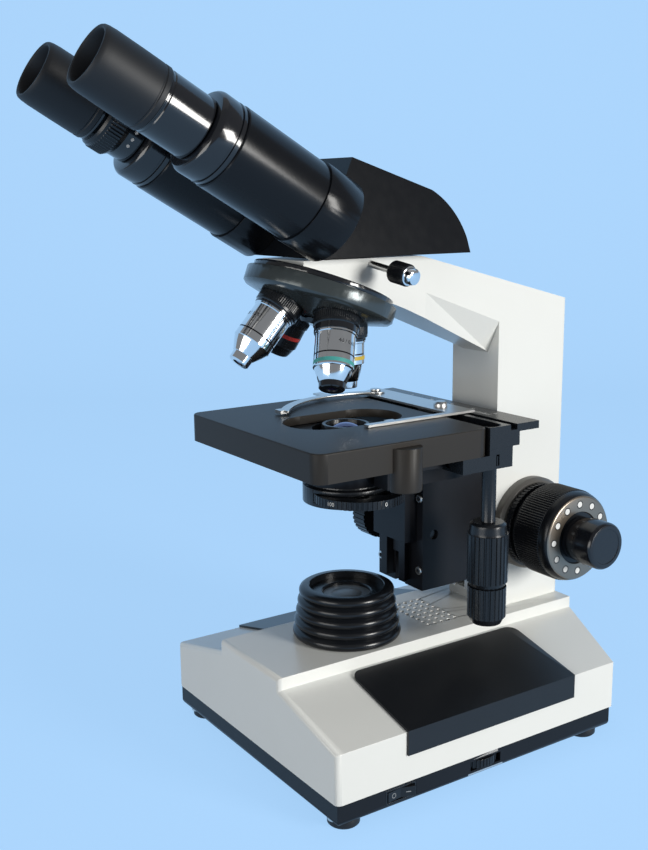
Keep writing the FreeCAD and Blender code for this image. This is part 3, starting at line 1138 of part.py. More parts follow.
def hub_span(side):
    first = HEAD_FRONT_S + AIR
    if side > 0:
        return first, first + HUB_T
    return first + HUB_T + AIR, TUBE_START_S - AIR


def make_prism_box(side):
    """Housing that swings about the hinge pin and carries one eyepiece tube."""
    cx, cy = tube_centre(side)
    s0, s1 = HEAD_FRONT_S + AIR, TUBE_START_S - AIR
    h0, h1 = hub_span(side)
    other0, other1 = hub_span(-side)
    hub = rod(HUB_R, h0, h1)
    outer = rod(BOX_R, s0, s1, cx, cy)
    reach = math.hypot(cx, cy)
    turn = Placement(Vector(0, 0, 0), Rotation(UP, math.degrees(math.atan2(cy, cx))))
    neck = placed(box(0, reach, -15, 15, h0, h1), turn)
    body = join(hub, outer, neck)
    other_hub = rod(HUB_R + AIR, other0 - AIR, other1 + AIR)
    cavity = rod(BOX_R - 4.5, s0 + 3, s1 + 1, cx, cy)
    cavity = cavity.cut(rod(HUB_R + AIR + 2.5, 0, 200))
    bore = rod(HINGE_R + RUN, 0, 200)
    if side < 0:
        bore = join(bore, rod(13.4 + AIR, TUBE_START_S - AIR, 200))
    body = body.cut(other_hub).cut(cavity).cut(bore)
    return placed(body, HEAD_FRAME)


def make_side_prism(side):
    cx, cy = tube_centre(side)
    s0 = HEAD_FRONT_S + AIR + 3
    turn = Placement(Vector(cx, cy, 0), Rotation(UP, math.degrees(math.atan2(cy, cx))))
    block = placed(box(-9, 13, -11, 11, s0, s0 + 15), turn)
    block = block.cut(rod(HUB_R + AIR + 2.5, 0, 200))
    return placed(block.common(rod(BOX_R - 4.5, 0, 200, cx, cy)), HEAD_FRAME)


def make_tube(side):
    cx, cy = tube_centre(side)
    start = TUBE_START_S - AIR
    bore = EYE_BORE_R + RUN
    profile = [(TUBE_R - 3, start), (TUBE_R, start), (TUBE_R, TUBE_END_S - 3),
               (TUBE_R - 1.2, TUBE_END_S - 2.4), (TUBE_R - 1.2, TUBE_END_S),
               (TUBE_R - 0.4, TUBE_END_S + 0.6), (TUBE_R - 0.4, COLLAR_END_S - 2),
               (TUBE_R - 2.2, COLLAR_END_S), (bore, COLLAR_END_S), (bore, TUBE_END_S - 14),
               (bore + 2.0, TUBE_END_S - 14), (bore + 2.0, TUBE_END_S - 4), (TUBE_R - 3, TUBE_END_S - 6)]
    return placed(lathe(profile, cx, cy), HEAD_FRAME)


def make_eyepiece(side):
    """Barrel, rubber cup and eye lens of one eyepiece; the left one leaves room for its ring."""
    cx, cy = tube_centre(side)
    insert = COLLAR_END_S - 16
    shoulder = COLLAR_END_S + AIR
    lens_seat = EYECUP_END_S - 12
    inner = EYE_BORE_R - 1.6
    profile = [(inner, insert), (EYE_BORE_R, insert), (EYE_BORE_R, shoulder)]
    if side > 0:
        profile += [(EYE_BODY_R - 0.6, shoulder), (EYE_BODY_R, shoulder + 0.8),
                    (EYE_BODY_R, EYE_BODY_END_S)]
    else:
        step = DIOPTRE_END_S + AIR + DIOPTRE_TRAVEL
        profile += [(EYE_BORE_R, step), (EYE_BODY_R, step), (EYE_BODY_R, EYE_BODY_END_S)]
    profile += [(13.0, EYE_BODY_END_S), (13.0, lens_seat), (inner, lens_seat)]
    barrel = lathe(profile, cx, cy)
    cup = lathe([(13.0, EYE_BODY_END_S), (EYECUP_BASE_R, EYE_BODY_END_S),
                 (EYECUP_BASE_R, EYE_BODY_END_S + 3),
                 (EYECUP_END_R, EYECUP_END_S - 1), (EYECUP_END_R - 1, EYECUP_END_S),
                 (EYECUP_END_R - 3, EYECUP_END_S - 0.6), (12.2, lens_seat + 3.0), (12.2, lens_seat),
                 (13.0, lens_seat)], cx, cy)
    lens = join(rod(inner, lens_seat - 5, lens_seat, cx, cy),
                Part.makeSphere(24, Vector(cx, cy, lens_seat + 1.4 - 24)).common(
                    rod(inner, lens_seat - 1, lens_seat + 4, cx, cy)))
    return [placed(shape, HEAD_FRAME) for shape in (barrel, cup, lens)]


def make_dioptre_ring():
    cx, cy = tube_centre(-1)
    s0, s1 = COLLAR_END_S + AIR, DIOPTRE_END_S
    bore = EYE_BORE_R + 2 * RUN
    grip = fluted(DIOPTRE_R, 0.5, 48, s0 + 12, s1 - 3, cx, cy)
    body = lathe([(0, s0), (EYE_BODY_R - 1, s0), (EYE_BODY_R - 0.6, s0 + 9), (DIOPTRE_R - 0.5, s0 + 12),
                  (DIOPTRE_R - 0.5, s1 - 3), (DIOPTRE_R - 2, s1), (0, s1)], cx, cy)
    return placed(join(grip, body).cut(rod(bore, s0 - 1, s1 + 1, cx, cy)), HEAD_FRAME)


def build():
    save("base_shell", make_base_shell())
    save("base_pan", make_base_pan())
    save("rubber_feet", make_feet())
    save("side_panels", make_side_panels())
    frame, rocker = make_switch_and_rocker()
    save("switch_frame", frame)
    save("power_rocker", rocker)
    wheel, wheel_x = make_brightness_wheel()
    save("brightness_wheel", wheel)
    save("power_inlet", make_power_inlet())
    save("lamp_housing", make_lamp_housing())
    save("field_lens", make_field_lens())
    socket, bulb = make_bulb_and_socket()
    save("power_supply", group([make_control_board(wheel_x), make_transformer(), socket]))
    save("halogen_bulb", bulb)
    save("column_arm", make_column_arm())
    save("focus_bosses", make_focus_bosses())
    save("head_clamp_screw", make_clamp_screw())
    save("focus_guide", make_focus_guide())
    save("focus_rack", make_focus_rack())
    save("coarse_sleeve", make_coarse_sleeve())
    save("coarse_knobs", make_coarse_knobs())
    save("fine_drive", make_fine_drive())
    save("tension_ring", make_tension_ring())
    save("stage_bracket", make_stage_bracket())
    save("stage_fixed_plate", make_stage_fixed_plate())
    save("stage_plate", make_stage_plate())
    save("drive_bracket", make_drive_bracket())
    save("x_rail", make_x_rail())
    save("x_belt", make_x_belt())
    save("y_drive_knob", make_y_knob())
    save("x_drive_knob", make_x_knob())
    save("slide_holder", make_slide_holder())
    save("spring_finger", make_spring_finger())
    save("condenser_carrier", make_condenser_carrier())
    save("condenser_barrel", make_condenser_barrel())
    save("condenser_lenses", make_condenser_lens())
    save("phase_disc", make_phase_disc())
    save("iris_lever", make_iris_lever())
    save("condenser_knob", make_condenser_knob())
    save("nosepiece_plate", make_nosepiece_plate())
    save("turret", make_turret())
    for name, shape in make_objectives():
        save(name, shape)
    save("head_housing", make_head_housing())
    save("head_prism", make_head_prism())
    save("head_hinge_tube", make_hinge_tube())
    for word, side in (("right", 1), ("left", -1)):
        save(word + "_prism_box", make_prism_box(side))
        save(word + "_prism", make_side_prism(side))
        save(word + "_eyepiece_tube", make_tube(side))
        barrel, cup, lens = make_eyepiece(side)
        save(word + "_eyepiece", barrel)
        save(word + "_eyecup", cup)
        save(word + "_eye_lens", lens)
    save("dioptre_ring", make_dioptre_ring())


build()
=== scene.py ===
# %% [markdown]
# # A phase contrast microscope, dressed for its portrait
#
# The model that this script loads is the instrument's construction: every casting, shaft and lens at
# its real size, grouped into the bodies that move together. What is missing is the look. This lesson
# gives each surface its finish, adds the small things that a maker's hands would add last, such as
# knurling, screws, scales and dial marks, and sets up a studio around it.

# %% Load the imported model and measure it
import bmesh
import bpy
import math
from mathutils import Matrix, Vector


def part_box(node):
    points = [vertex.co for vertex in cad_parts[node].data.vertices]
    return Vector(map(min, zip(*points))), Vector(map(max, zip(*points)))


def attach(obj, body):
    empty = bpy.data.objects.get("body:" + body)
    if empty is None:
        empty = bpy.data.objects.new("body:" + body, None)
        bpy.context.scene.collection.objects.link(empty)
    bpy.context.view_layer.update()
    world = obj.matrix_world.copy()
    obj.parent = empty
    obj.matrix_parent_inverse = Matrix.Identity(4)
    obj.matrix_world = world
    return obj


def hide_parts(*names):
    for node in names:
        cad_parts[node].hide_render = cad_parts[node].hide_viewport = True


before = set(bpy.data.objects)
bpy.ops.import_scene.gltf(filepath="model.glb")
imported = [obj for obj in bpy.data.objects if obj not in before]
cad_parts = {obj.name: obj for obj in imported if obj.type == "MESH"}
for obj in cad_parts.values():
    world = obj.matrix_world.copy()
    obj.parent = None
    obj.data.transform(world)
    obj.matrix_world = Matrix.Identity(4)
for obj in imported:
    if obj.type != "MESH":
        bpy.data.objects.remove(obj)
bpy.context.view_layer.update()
MM = 0.001
X, Y, Z = Vector((1, 0, 0)), Vector((0, 1, 0)), Vector((0, 0, 1))

# %% [markdown]
# ## The camera
#
# A portrait of an instrument is usually taken from the user's right, a little above the stage, so that
# the eyepieces, the stage and the focus knobs all show. The camera here was solved from the picture:
# its place, its heading and tilt, and how long its lens is. Writing it as heading, tilt and roll keeps
# it readable. The long side of the frame is upright, so the sensor's 36 mm belong to the height.

# %% The camera and its three angles
HEADING = math.radians(56.36)
TILT = math.radians(11.66)
ROLL = math.radians(-0.52)
EYE = Vector((526.7, -365.9, 331.2)) * MM
LENS_MM = 47.05
NEAREST, FARTHEST = 0.02, 40

back = Vector((math.sin(HEADING) * math.cos(TILT), -math.cos(HEADING) * math.cos(TILT),
               math.sin(TILT)))
level_right = Vector((math.cos(HEADING), math.sin(HEADING), 0))
level_up = back.cross(level_right)
right = level_right * math.cos(ROLL) + level_up * math.sin(ROLL)
up = level_up * math.cos(ROLL) - level_right * math.sin(ROLL)

camera = bpy.data.objects.new("camera", bpy.data.cameras.new("camera"))
camera.data.lens = LENS_MM
camera.data.clip_start, camera.data.clip_end = NEAREST, FARTHEST
camera.matrix_world = Matrix.Translation(EYE) @ Matrix((right, up, back)).transposed().to_4x4()
bpy.context.scene.collection.objects.link(camera)
bpy.context.scene.camera = camera
bpy.context.scene.view_settings.view_transform = "Standard"
print("camera at", [round(v / MM) for v in EYE], "mm, lens", LENS_MM)

# %% [markdown]
# ## Shader maths that reads like arithmetic
#
# A procedural finish is mostly arithmetic on textures: this noise times that mask, plus a constant.
# Wired by hand each step is a node and two links, and the idea drowns. So one small class wraps an
# output socket and teaches Python's operators to add Math nodes. Everything that isn't arithmetic goes
# through a single method, which takes the node's type, its settings and what its sockets get.

# %% Wire and Finish, the two helpers for materials
class Wire:
    """An output socket that can be added and multiplied."""

    def __init__(self, finish, socket):
        self.finish = finish
        self.socket = socket

    def maths(self, operation, other):
        return self.finish.node("ShaderNodeMath", {"operation": operation}, {0: self, 1: other})

    def __add__(self, other):
        return self.maths("ADD", other)

    def __mul__(self, other):
        return self.maths("MULTIPLY", other)

    __radd__ = __add__


class Finish:
    """A material: constants sit on the shader's sockets, what varies is fed to them."""

    def __init__(self, name, color, roughness, **constants):
        self.material = bpy.data.materials.new(name)
        self.material.use_nodes = True
        self.material.diffuse_color = (*color, 1)
        self.tree = self.material.node_tree
        self.shader = self.tree.nodes["Principled BSDF"]
        self.color = color
        self.shader.inputs["Base Color"].default_value = (*color, 1)
        self.shader.inputs["Roughness"].default_value = roughness
        for words, value in constants.items():
            socket = words.replace("_", " ").title().replace("Ior", "IOR")
            self.shader.inputs[socket].default_value = value

    def node(self, kind, settings=None, sockets=None, output=0):
        made = self.tree.nodes.new(kind)
        for name, value in (settings or {}).items():
            setattr(made, name, value)
        for key, value in (sockets or {}).items():
            if isinstance(value, Wire):
                self.tree.links.new(value.socket, made.inputs[key])
            else:
                made.inputs[key].default_value = value
        return Wire(self, made.outputs[output])

    def feed(self, name, wire):
        self.tree.links.new(wire.socket, self.shader.inputs[name])

    def place(self):
        """Coordinates on the piece itself, in metres."""
        return self.node("ShaderNodeTexCoord", output="Object")

    def noise(self, size_mm, detail=2.0, stretch=(1, 1, 1)):
        """Cloudy noise whose lumps are about size_mm across, stretched along an axis if asked."""
        scaled = self.node("ShaderNodeMapping", None, {"Vector": self.place(), "Scale": stretch})
        return self.node("ShaderNodeTexNoise", None,
                         {"Vector": scaled, "Scale": 1000 / size_mm, "Detail": detail})

    def bump(self, height, depth_mm):
        """Relief of a real depth, for grain and scratches too small to model."""
        self.feed("Normal", self.node("ShaderNodeBump", None, {
            "Strength": 1.0, "Distance": depth_mm * MM, "Height": height}))

    def mix(self, mask, first, second):
        """A colour between two others, set by a mask."""
        return self.node("ShaderNodeMix", {"data_type": "RGBA"}, {
            "Factor": mask, 6: (*first, 1), 7: (*second, 1)}, output=2)

    def vary(self, mask, other):
        """Run the base colour from the finish's own to another one with a mask."""
        self.feed("Base Color", self.mix(mask, self.color, other))

    def vary_roughness(self, mask, middle, spread):
        """Let a mask move the roughness by a spread around its middle."""
        self.feed("Roughness", mask * spread + (middle - spread / 2))


print("helpers ready")

# %% [markdown]
# ## Paints
#
# The stand is sprayed with an off-white enamel and the optical parts are black. Sprayed enamel isn't
# perfectly flat: it has a faint orange peel about a millimetre across, it yellows and collects dust
# very slightly, and a clear gloss lies on top. A coat layer gives the white enamel that gloss without
# making its colour shiny. The black paints have no coat, and their weak sheen shows their shape.

# %% Off-white enamel, black paint, and a dark grey that is painted shade on the white bosses
MOTTLE_MM, GLOSS_PATCH_MM = 35, 6
ORANGE_PEEL_MM, ORANGE_PEEL_DEPTH_MM = 1.1, 0.012


def enamel(name, color, shade, roughness, gloss, shine=0.5):
    paint = Finish(name, color, roughness, specular_ior_level=shine, coat_weight=gloss,
                   coat_roughness=0.12)
    paint.vary(paint.noise(MOTTLE_MM, detail=3.0) * 0.5, shade)
    paint.vary_roughness(paint.noise(GLOSS_PATCH_MM), roughness, 0.08)
    paint.bump(paint.noise(ORANGE_PEEL_MM, detail=1.0), ORANGE_PEEL_DEPTH_MM)
    return paint


WHITE_ENAMEL = enamel("white_enamel", (0.80, 0.81, 0.785), (0.74, 0.75, 0.715), 0.36, 0.25)
BLACK_ENAMEL = enamel("black_enamel", (0.005, 0.006, 0.008), (0.008, 0.009, 0.012), 0.22, 0.0, 0.2)
BLACK_SATIN = enamel("black_satin", (0.006, 0.0065, 0.009), (0.008, 0.009, 0.011), 0.36, 0.0, 0.2)
# The focus bosses are white enamel in shade, so the dark grey on them is painted shade.
BOSS_SHADE_GREY = enamel("boss_enamel_painted_shade", (0.085, 0.080, 0.072), (0.11, 0.105, 0.095), 0.42, 0.10)
print("paints", [f.material.name for f in (WHITE_ENAMEL, BLACK_ENAMEL, BLACK_SATIN, BOSS_SHADE_GREY)])

# %% [markdown]
# ## Plastics and rubber
#
# Moulded covers have a spark-eroded grain: tiny even dimples that turn gloss into a soft sheen. Knobs
# are the same plastic, polished where the mould was polished. Rubber is rougher than both, and it is
# never glossy.

# %% Grained plastic, gloss plastic, rubber
def grained_plastic(name, color, roughness, grain_mm, depth_mm):
    plastic = Finish(name, color, roughness, specular_ior_level=0.35)
    plastic.vary(plastic.noise(12), tuple(c * 1.35 for c in color))
    cells = plastic.node("ShaderNodeTexVoronoi", None,
                         {"Vector": plastic.place(), "Scale": 1000 / grain_mm})
    plastic.bump(cells, depth_mm)
    return plastic


PANEL_GRAIN = grained_plastic("panel_grain", (0.007, 0.008, 0.010), 0.36, 0.7, 0.012)
KNOB_PLASTIC = grained_plastic("knob_plastic", (0.006, 0.007, 0.009), 0.26, 0.9, 0.006)
SWITCH_PLASTIC = grained_plastic("switch_plastic", (0.007, 0.008, 0.010), 0.22, 1.2, 0.004)
RUBBER = grained_plastic("rubber", (0.007, 0.008, 0.010), 0.52, 0.5, 0.015)
print("plastics and rubber ready")

# %% [markdown]
# ## Metals
#
# Chrome is nearly a mirror, with faint haze. Turned or satin aluminium keeps the fine lines of the
# tool. Black anodising and the stage's hard coat are skins of dyed oxide, so they aren't metallic:
# they are black with a soft bright edge, and they mostly differ in how smooth they are. The skins of
# the turret and the dial are thin, so these two stay partly metallic. Fine lines are noise squeezed
# along one axis, read on the piece's own coordinates, so that they turn with the piece.

# %% Chrome, satin metal, brass and the black skins
EVEN = (1, 1, 1)


def metal(name, color, roughness, line_mm, stretch, depth_mm, metallic=1.0, **constants):
    surface = Finish(name, color, roughness, metallic=metallic, **constants)
    lines = surface.noise(line_mm, detail=1.0, stretch=stretch)
    surface.vary_roughness(lines, roughness, 0.12)
    surface.bump(lines, depth_mm)
    return surface


CHROME = metal("chrome", (0.78, 0.79, 0.80), 0.11, 4.0, EVEN, 0.002)
SATIN_METAL = metal("satin_metal", (0.56, 0.56, 0.55), 0.34, 0.5, (1, 0.05, 1), 0.006)
TURNED_METAL = metal("turned_metal", (0.60, 0.60, 0.60), 0.25, 0.4, (0.08, 0.08, 1), 0.004)
BRASS = metal("brass", (0.68, 0.48, 0.20), 0.28, 0.5, (1, 1, 0.1), 0.004)
DIAL_METAL = metal("dial_metal", (0.25, 0.21, 0.17), 0.30, 0.4, EVEN, 0.004, metallic=0.9)
TURRET_BLACK = metal("turret_black", (0.050, 0.062, 0.066), 0.20, 1.5, EVEN, 0.002, metallic=0.35)
ANODISED = metal("anodised", (0.008, 0.0095, 0.012), 0.28, 0.5, (1, 1, 0.2), 0.004,
                 metallic=0.0, specular_ior_level=0.35)
GLOSS_ANODISED = metal("gloss_anodised", (0.007, 0.008, 0.011), 0.14, 1.5, EVEN, 0.002,
                       metallic=0.0, coat_weight=0.2, coat_roughness=0.06)
LAMP_BLACK = metal("lamp_black", (0.006, 0.007, 0.009), 0.24, 1.5, EVEN, 0.002,
                   metallic=0.0, specular_ior_level=0.35)
KNOB_GLOSS = metal("knob_gloss", (0.006, 0.007, 0.010), 0.22, 2.0, EVEN, 0.001, metallic=0.0)
HARD_COAT = metal("hard_coat", (0.026, 0.023, 0.020), 0.42, 0.35, EVEN, 0.008,
                  metallic=0.0, specular_ior_level=0.18)
print("metals ready")

# %% [markdown]
# ## Glass, lamp dome and marks
#
# The eye and condenser lenses carry a coating that tints their reflection, so they are made as dark,
# very smooth glass with a strong coat rather than as clear glass, which would only show the black
# barrel behind. The dome over the lamp is sand-blasted inside: with the lamp off it looks grey and
# soft. Marks are filled with paint, and three objectives wear a coloured ring.

# %% Lenses, frosted dome, printed marks
COATED_LENS = Finish("coated_lens", (0.02, 0.018, 0.035), 0.04, coat_weight=1.0,
                     coat_roughness=0.02, coat_tint=(0.55, 0.5, 0.95, 1))
COATED_LENS.vary(COATED_LENS.noise(20), (0.03, 0.02, 0.05))
FROSTED = Finish("frosted_glass", (0.13, 0.15, 0.17), 0.40, coat_weight=0.1, coat_roughness=0.3)
FROSTED.bump(FROSTED.noise(0.4), 0.02)
FROSTED.vary(FROSTED.noise(9), (0.10, 0.12, 0.14))
CLEAR_GLASS = Finish("clear_glass", (0.75, 0.82, 0.86), 0.03, alpha=0.35)
CLEAR_GLASS.vary(CLEAR_GLASS.noise(15), (0.68, 0.76, 0.80))


def mark_paint(name, color):
    paint = Finish(name, color, 0.5)
    paint.vary(paint.noise(0.8), tuple(c * 0.85 for c in color))
    return paint


WHITE_MARK = mark_paint("white_mark", (0.80, 0.81, 0.80))
GREY_MARK = mark_paint("grey_mark", (0.30, 0.32, 0.34))
TEAL_BAND = mark_paint("teal_band", (0.055, 0.33, 0.31))
YELLOW_BAND = mark_paint("yellow_band", (0.62, 0.45, 0.05))
RED_BAND = mark_paint("red_band", (0.45, 0.03, 0.025))
print("glass and marks ready")

# %% [markdown]

# %% [markdown]
# ## Which piece gets which finish
#
# Most construction pieces already have the right shape, so they only need a finish and softened edges.
# Nothing made by people has a perfectly sharp edge: a small bevel catches the light, and that line of
# light is what tells the eye that a black block is a machined casting. A weld first joins the faces
# that the exchange format keeps apart, and then the bevel works on every edge sharper than 35 degrees.

# %% Finishes by node, and a softened edge for each
NODE_FINISH = {
    WHITE_ENAMEL: ["base_shell", "column_arm"],
    BLACK_ENAMEL: ["head_housing", "right_prism_box", "left_prism_box", "right_eyepiece_tube",
                   "left_eyepiece_tube"],
    BLACK_SATIN: ["base_pan", "stage_bracket", "stage_fixed_plate", "condenser_carrier"],
    BOSS_SHADE_GREY: ["focus_bosses"],
    PANEL_GRAIN: ["side_panels"],
    KNOB_PLASTIC: ["brightness_wheel", "condenser_knob", "phase_disc", "tension_ring"],
    SWITCH_PLASTIC: ["switch_frame", "power_rocker", "power_inlet"],
    RUBBER: ["rubber_feet", "x_belt", "right_eyecup", "left_eyecup"],
    TURNED_METAL: ["focus_guide", "coarse_sleeve", "iris_lever", "head_clamp_screw"],
    SATIN_METAL: ["slide_holder", "spring_finger", "power_supply"],
    BRASS: ["focus_rack"],
    ANODISED: ["lamp_housing", "condenser_barrel", "head_hinge_tube", "drive_bracket", "x_rail",
               "fine_drive", "coarse_knobs", "y_drive_knob", "x_drive_knob", "left_eyepiece"],
    GLOSS_ANODISED: ["nosepiece_plate", "right_eyepiece", "dioptre_ring"],
    TURRET_BLACK: ["turret"],
    HARD_COAT: ["stage_plate"],
    CHROME: ["objective_10x", "objective_40x", "objective_100x", "objective_4x"],
    COATED_LENS: ["right_eye_lens", "left_eye_lens", "condenser_lenses"],
    FROSTED: ["field_lens"],
    CLEAR_GLASS: ["halogen_bulb", "head_prism", "right_prism", "left_prism"],
}
EDGE_MM = {"base_shell": 1.2, "column_arm": 1.2, "head_housing": 1.2, "stage_plate": 0.6,
           "side_panels": 0.5, "base_pan": 0.6, "stage_bracket": 0.5}
SMALL_EDGE_MM = 0.25
WELD_MM = 0.02
BEVELLED_ABOVE = math.radians(35)


def soften_edges(piece, width_mm):
    weld = piece.modifiers.new("weld", "WELD")
    weld.merge_threshold = WELD_MM * MM
    edge = piece.modifiers.new("edge", "BEVEL")
    edge.width = width_mm * MM
    edge.segments = 2
    edge.limit_method = "ANGLE"
    edge.angle_limit = BEVELLED_ABOVE
    edge.harden_normals = True


for finish, names in NODE_FINISH.items():
    for name in names:
        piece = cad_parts[name]
        piece.data.materials.clear()
        piece.data.materials.append(finish.material)
        soften_edges(piece, EDGE_MM.get(name, SMALL_EDGE_MM))
left_out = sorted(set(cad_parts) - {n for names in NODE_FINISH.values() for n in names})
print("nodes without a finish:", left_out)

# %% [markdown]
# ## Turned parts
#
# Nearly everything you touch on a microscope comes from a lathe, so one maker covers most of the small
# parts. It takes rows of radius, height and finish, as a turner reads a drawing. A radius may also be a
# function of the angle: that is how a knurl or a hexagon socket is cut into one row and not into the
# next. Edges sharper than 30 degrees stay crisp and the rest is shaded smooth.

# %% The lathe, its knurls and its hexagons
SAME_POINT = 1e-7
CRISP_ABOVE = math.radians(30)


def knurl(radius, depth, ribs):
    """A radius with rounded ribs, for grips."""
    return lambda angle: radius - depth * (0.5 + 0.5 * math.cos(ribs * angle))


def hexagon(flat_radius):
    sixth = math.pi / 3
    return lambda angle: flat_radius / math.cos((angle + sixth / 2) % sixth - sixth / 2)


def made_of(finish, *outline):
    """Rows of one finish; the outline is pairs of radius and height in mm."""
    return [(radius, height, finish) for radius, height in outline]


def on_circle(radius, degrees):
    turn = math.radians(degrees)
    return radius * math.cos(turn), radius * math.sin(turn)


def add_piece(name, mesh, finishes, body, place):
    """Turn a bmesh into an object that rides on a body, with its finishes as its materials."""
    bmesh.ops.remove_doubles(mesh, verts=mesh.verts, dist=SAME_POINT)
    bmesh.ops.recalc_face_normals(mesh, faces=mesh.faces)
    for edge in mesh.edges:
        if len(edge.link_faces) == 2 and edge.calc_face_angle(0) > CRISP_ABOVE:
            edge.smooth = False
    data = bpy.data.meshes.new(name)
    mesh.to_mesh(data)
    mesh.free()
    for finish in finishes:
        data.materials.append(finish.material)
    piece = bpy.data.objects.new(name, data)
    bpy.context.scene.collection.objects.link(piece)
    piece.matrix_world = place
    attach(piece, body)
    return piece


def turned(name, body, rows, place, sides=96):
    """Spin rows about Z. Each row's finish covers the band up to the next row."""
    mesh = bmesh.new()
    finishes = list(dict.fromkeys(finish for _, _, finish in rows))
    rings = []
    for radius, height, _ in rows:
        if radius == 0:
            rings.append([mesh.verts.new((0, 0, height * MM))] * sides)
            continue
        ring = []
        for n in range(sides):
            angle = 2 * math.pi * n / sides
            reach = (radius(angle) if callable(radius) else radius) * MM
            ring.append(mesh.verts.new((reach * math.cos(angle), reach * math.sin(angle),
                                        height * MM)))
        rings.append(ring)
    for (_, _, finish), first, second in zip(rows, rings, rings[1:]):
        for n in range(sides):
            m = (n + 1) % sides
            corners = list(dict.fromkeys((first[n], first[m], second[m], second[n])))
            face = mesh.faces.new(corners)
            face.smooth = True
            face.material_index = finishes.index(finish)
    return add_piece(name, mesh, finishes, body, place)


# %% [markdown]
# ## Places and directions
#
# The instrument has a few natural frames: the turret leans back, each objective has its own axis, and
# the tubes rise towards the user. A piece is easiest to describe in its own frame, with Z along its
# axis. The lengths here are in millimetres, and the optical axis meets the bench at zero.

# %% Frames of the head, the turret, the objectives and the knobs
APEX = (0, 0, 321.5)
TURRET_LEAN = math.radians(21)
HEAD_PIVOT = (0, 0, 315.4)
HEAD_RISE = math.radians(30)
SEAT = 62.0
TUBE_HALF_SPAN, TUBE_DROP = 34.8, 13.97


def shift(x, y, z):
    return Matrix.Translation(Vector((x, y, z)) * MM)


def aim(origin_mm, normal, across=X):
    """A frame at a point, with Z along the normal and X as near as can be to the other direction."""
    z = Vector(normal).normalized()
    x = (Vector(across) - z * z.dot(Vector(across))).normalized()
    turn = Matrix((x, z.cross(x), z)).transposed().to_4x4()
    return shift(*origin_mm) @ turn


def middle_of(node):
    low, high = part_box(node)
    return (low + high) / (2 * MM)


TURRET = aim(APEX, (0, math.sin(TURRET_LEAN), math.cos(TURRET_LEAN)))
HEAD = aim(HEAD_PIVOT, (0, -math.cos(HEAD_RISE), math.sin(HEAD_RISE)))


def tube_frame(side):
    return HEAD @ shift(side * TUBE_HALF_SPAN, -TUBE_DROP, 0)


def objective_frame(station):
    """Z points down the objective from its seat; station 0 is the one in use."""
    quarter_turns = Matrix.Rotation(math.radians(-90 * station), 4, "Z")
    upright = TURRET @ quarter_turns @ TURRET.inverted()
    return upright @ aim(APEX, -Z) @ shift(0, 0, SEAT)


FOCUS = middle_of("coarse_knobs")
print("focus axis at y, z", round(FOCUS.y, 1), round(FOCUS.z, 1))

# %% [markdown]
# ## Objectives
#
# Each objective is a stack of turned rings: a black knurled collar to screw it in by, a chromed barrel
# with fine steps, a coloured band that tells the power from across the room, and a cone down to the
# front lens. The 10x is in use, and the 4x is short and black. Their lengths follow the construction,
# because they all have to reach the same point on the slide.

# %% Four objectives, built ring by ring
CHROME_R, SLEEVE_R = 11.2, 12.2
GRIP_RIBS = knurl(13.0, 0.3, 60)
COLLAR = (made_of(ANODISED, (10.0, -3.0), (10.0, 0.0), (12.5, 0.0), (12.9, 0.4), (12.9, 1.8),
                  (GRIP_RIBS, 2.0), (GRIP_RIBS, 6.5), (12.9, 6.7), (12.9, 8.1))
          + made_of(GLOSS_ANODISED, (12.5, 8.5)))


def front(radius, start, end, finish):
    """The nose: a small ring, a bevel and the front lens in its recess."""
    return (made_of(finish, (radius, start), (radius - 0.2, end - 0.6), (radius - 0.8, end))
            + made_of(BLACK_SATIN, (3.2, end))
            + made_of(COATED_LENS, (2.9, end - 0.7), (0, end - 0.4)))


def chrome_barrel(start, groove, band, end, color):
    """Chromed sleeve from the collar to the cone, with one groove and one coloured band."""
    r = CHROME_R
    return (made_of(CHROME, (r + 0.6, start), (r + 0.6, start + 0.9), (r, start + 1.3))
            + made_of(BLACK_SATIN, (r, groove), (r - 0.35, groove + 0.2))
            + made_of(CHROME, (r - 0.35, groove + 0.6), (r, groove + 0.8))
            + made_of(color, (r, band))
            + made_of(CHROME, (r, band + 2.2), (r, end - 0.5), (r - 0.5, end)))


rows_40x = (COLLAR + made_of(GLOSS_ANODISED, (SLEEVE_R, 8.8), (SLEEVE_R, 12.2))
            + chrome_barrel(12.5, 25.5, 29.3, 33.0, TEAL_BAND)
            + made_of(CHROME, (10.4, 33.2), (9.8, 35.0), (7.6, 40.6))
            + front(7.4, 40.8, 44.4, GLOSS_ANODISED))
rows_100x = (COLLAR + made_of(GLOSS_ANODISED, (SLEEVE_R, 8.8), (SLEEVE_R, 10.0))
             + chrome_barrel(10.3, 26.8, 28.2, 32.4, CHROME)
             + made_of(CHROME, (10.6, 32.6), (9.2, 35.5), (6.6, 39.8))
             + front(6.2, 40.0, 44.8, CHROME))
rows_10x = (COLLAR + made_of(GLOSS_ANODISED, (12.0, 8.8), (12.0, 10.0))
            + chrome_barrel(10.3, 17.4, 19.0, 24.0, YELLOW_BAND)
            + made_of(CHROME, (10.2, 24.2), (7.4, 33.8))
            + front(7.2, 34.0, 38.0, CHROME))
rows_4x = (COLLAR + made_of(ANODISED, (SLEEVE_R, 8.8)) + made_of(RED_BAND, (SLEEVE_R, 14.0))
           + made_of(ANODISED, (SLEEVE_R, 16.2), (SLEEVE_R, 21.6), (11.6, 22.2), (10.4, 26.4))
           + front(10.2, 26.6, 28.0, ANODISED))

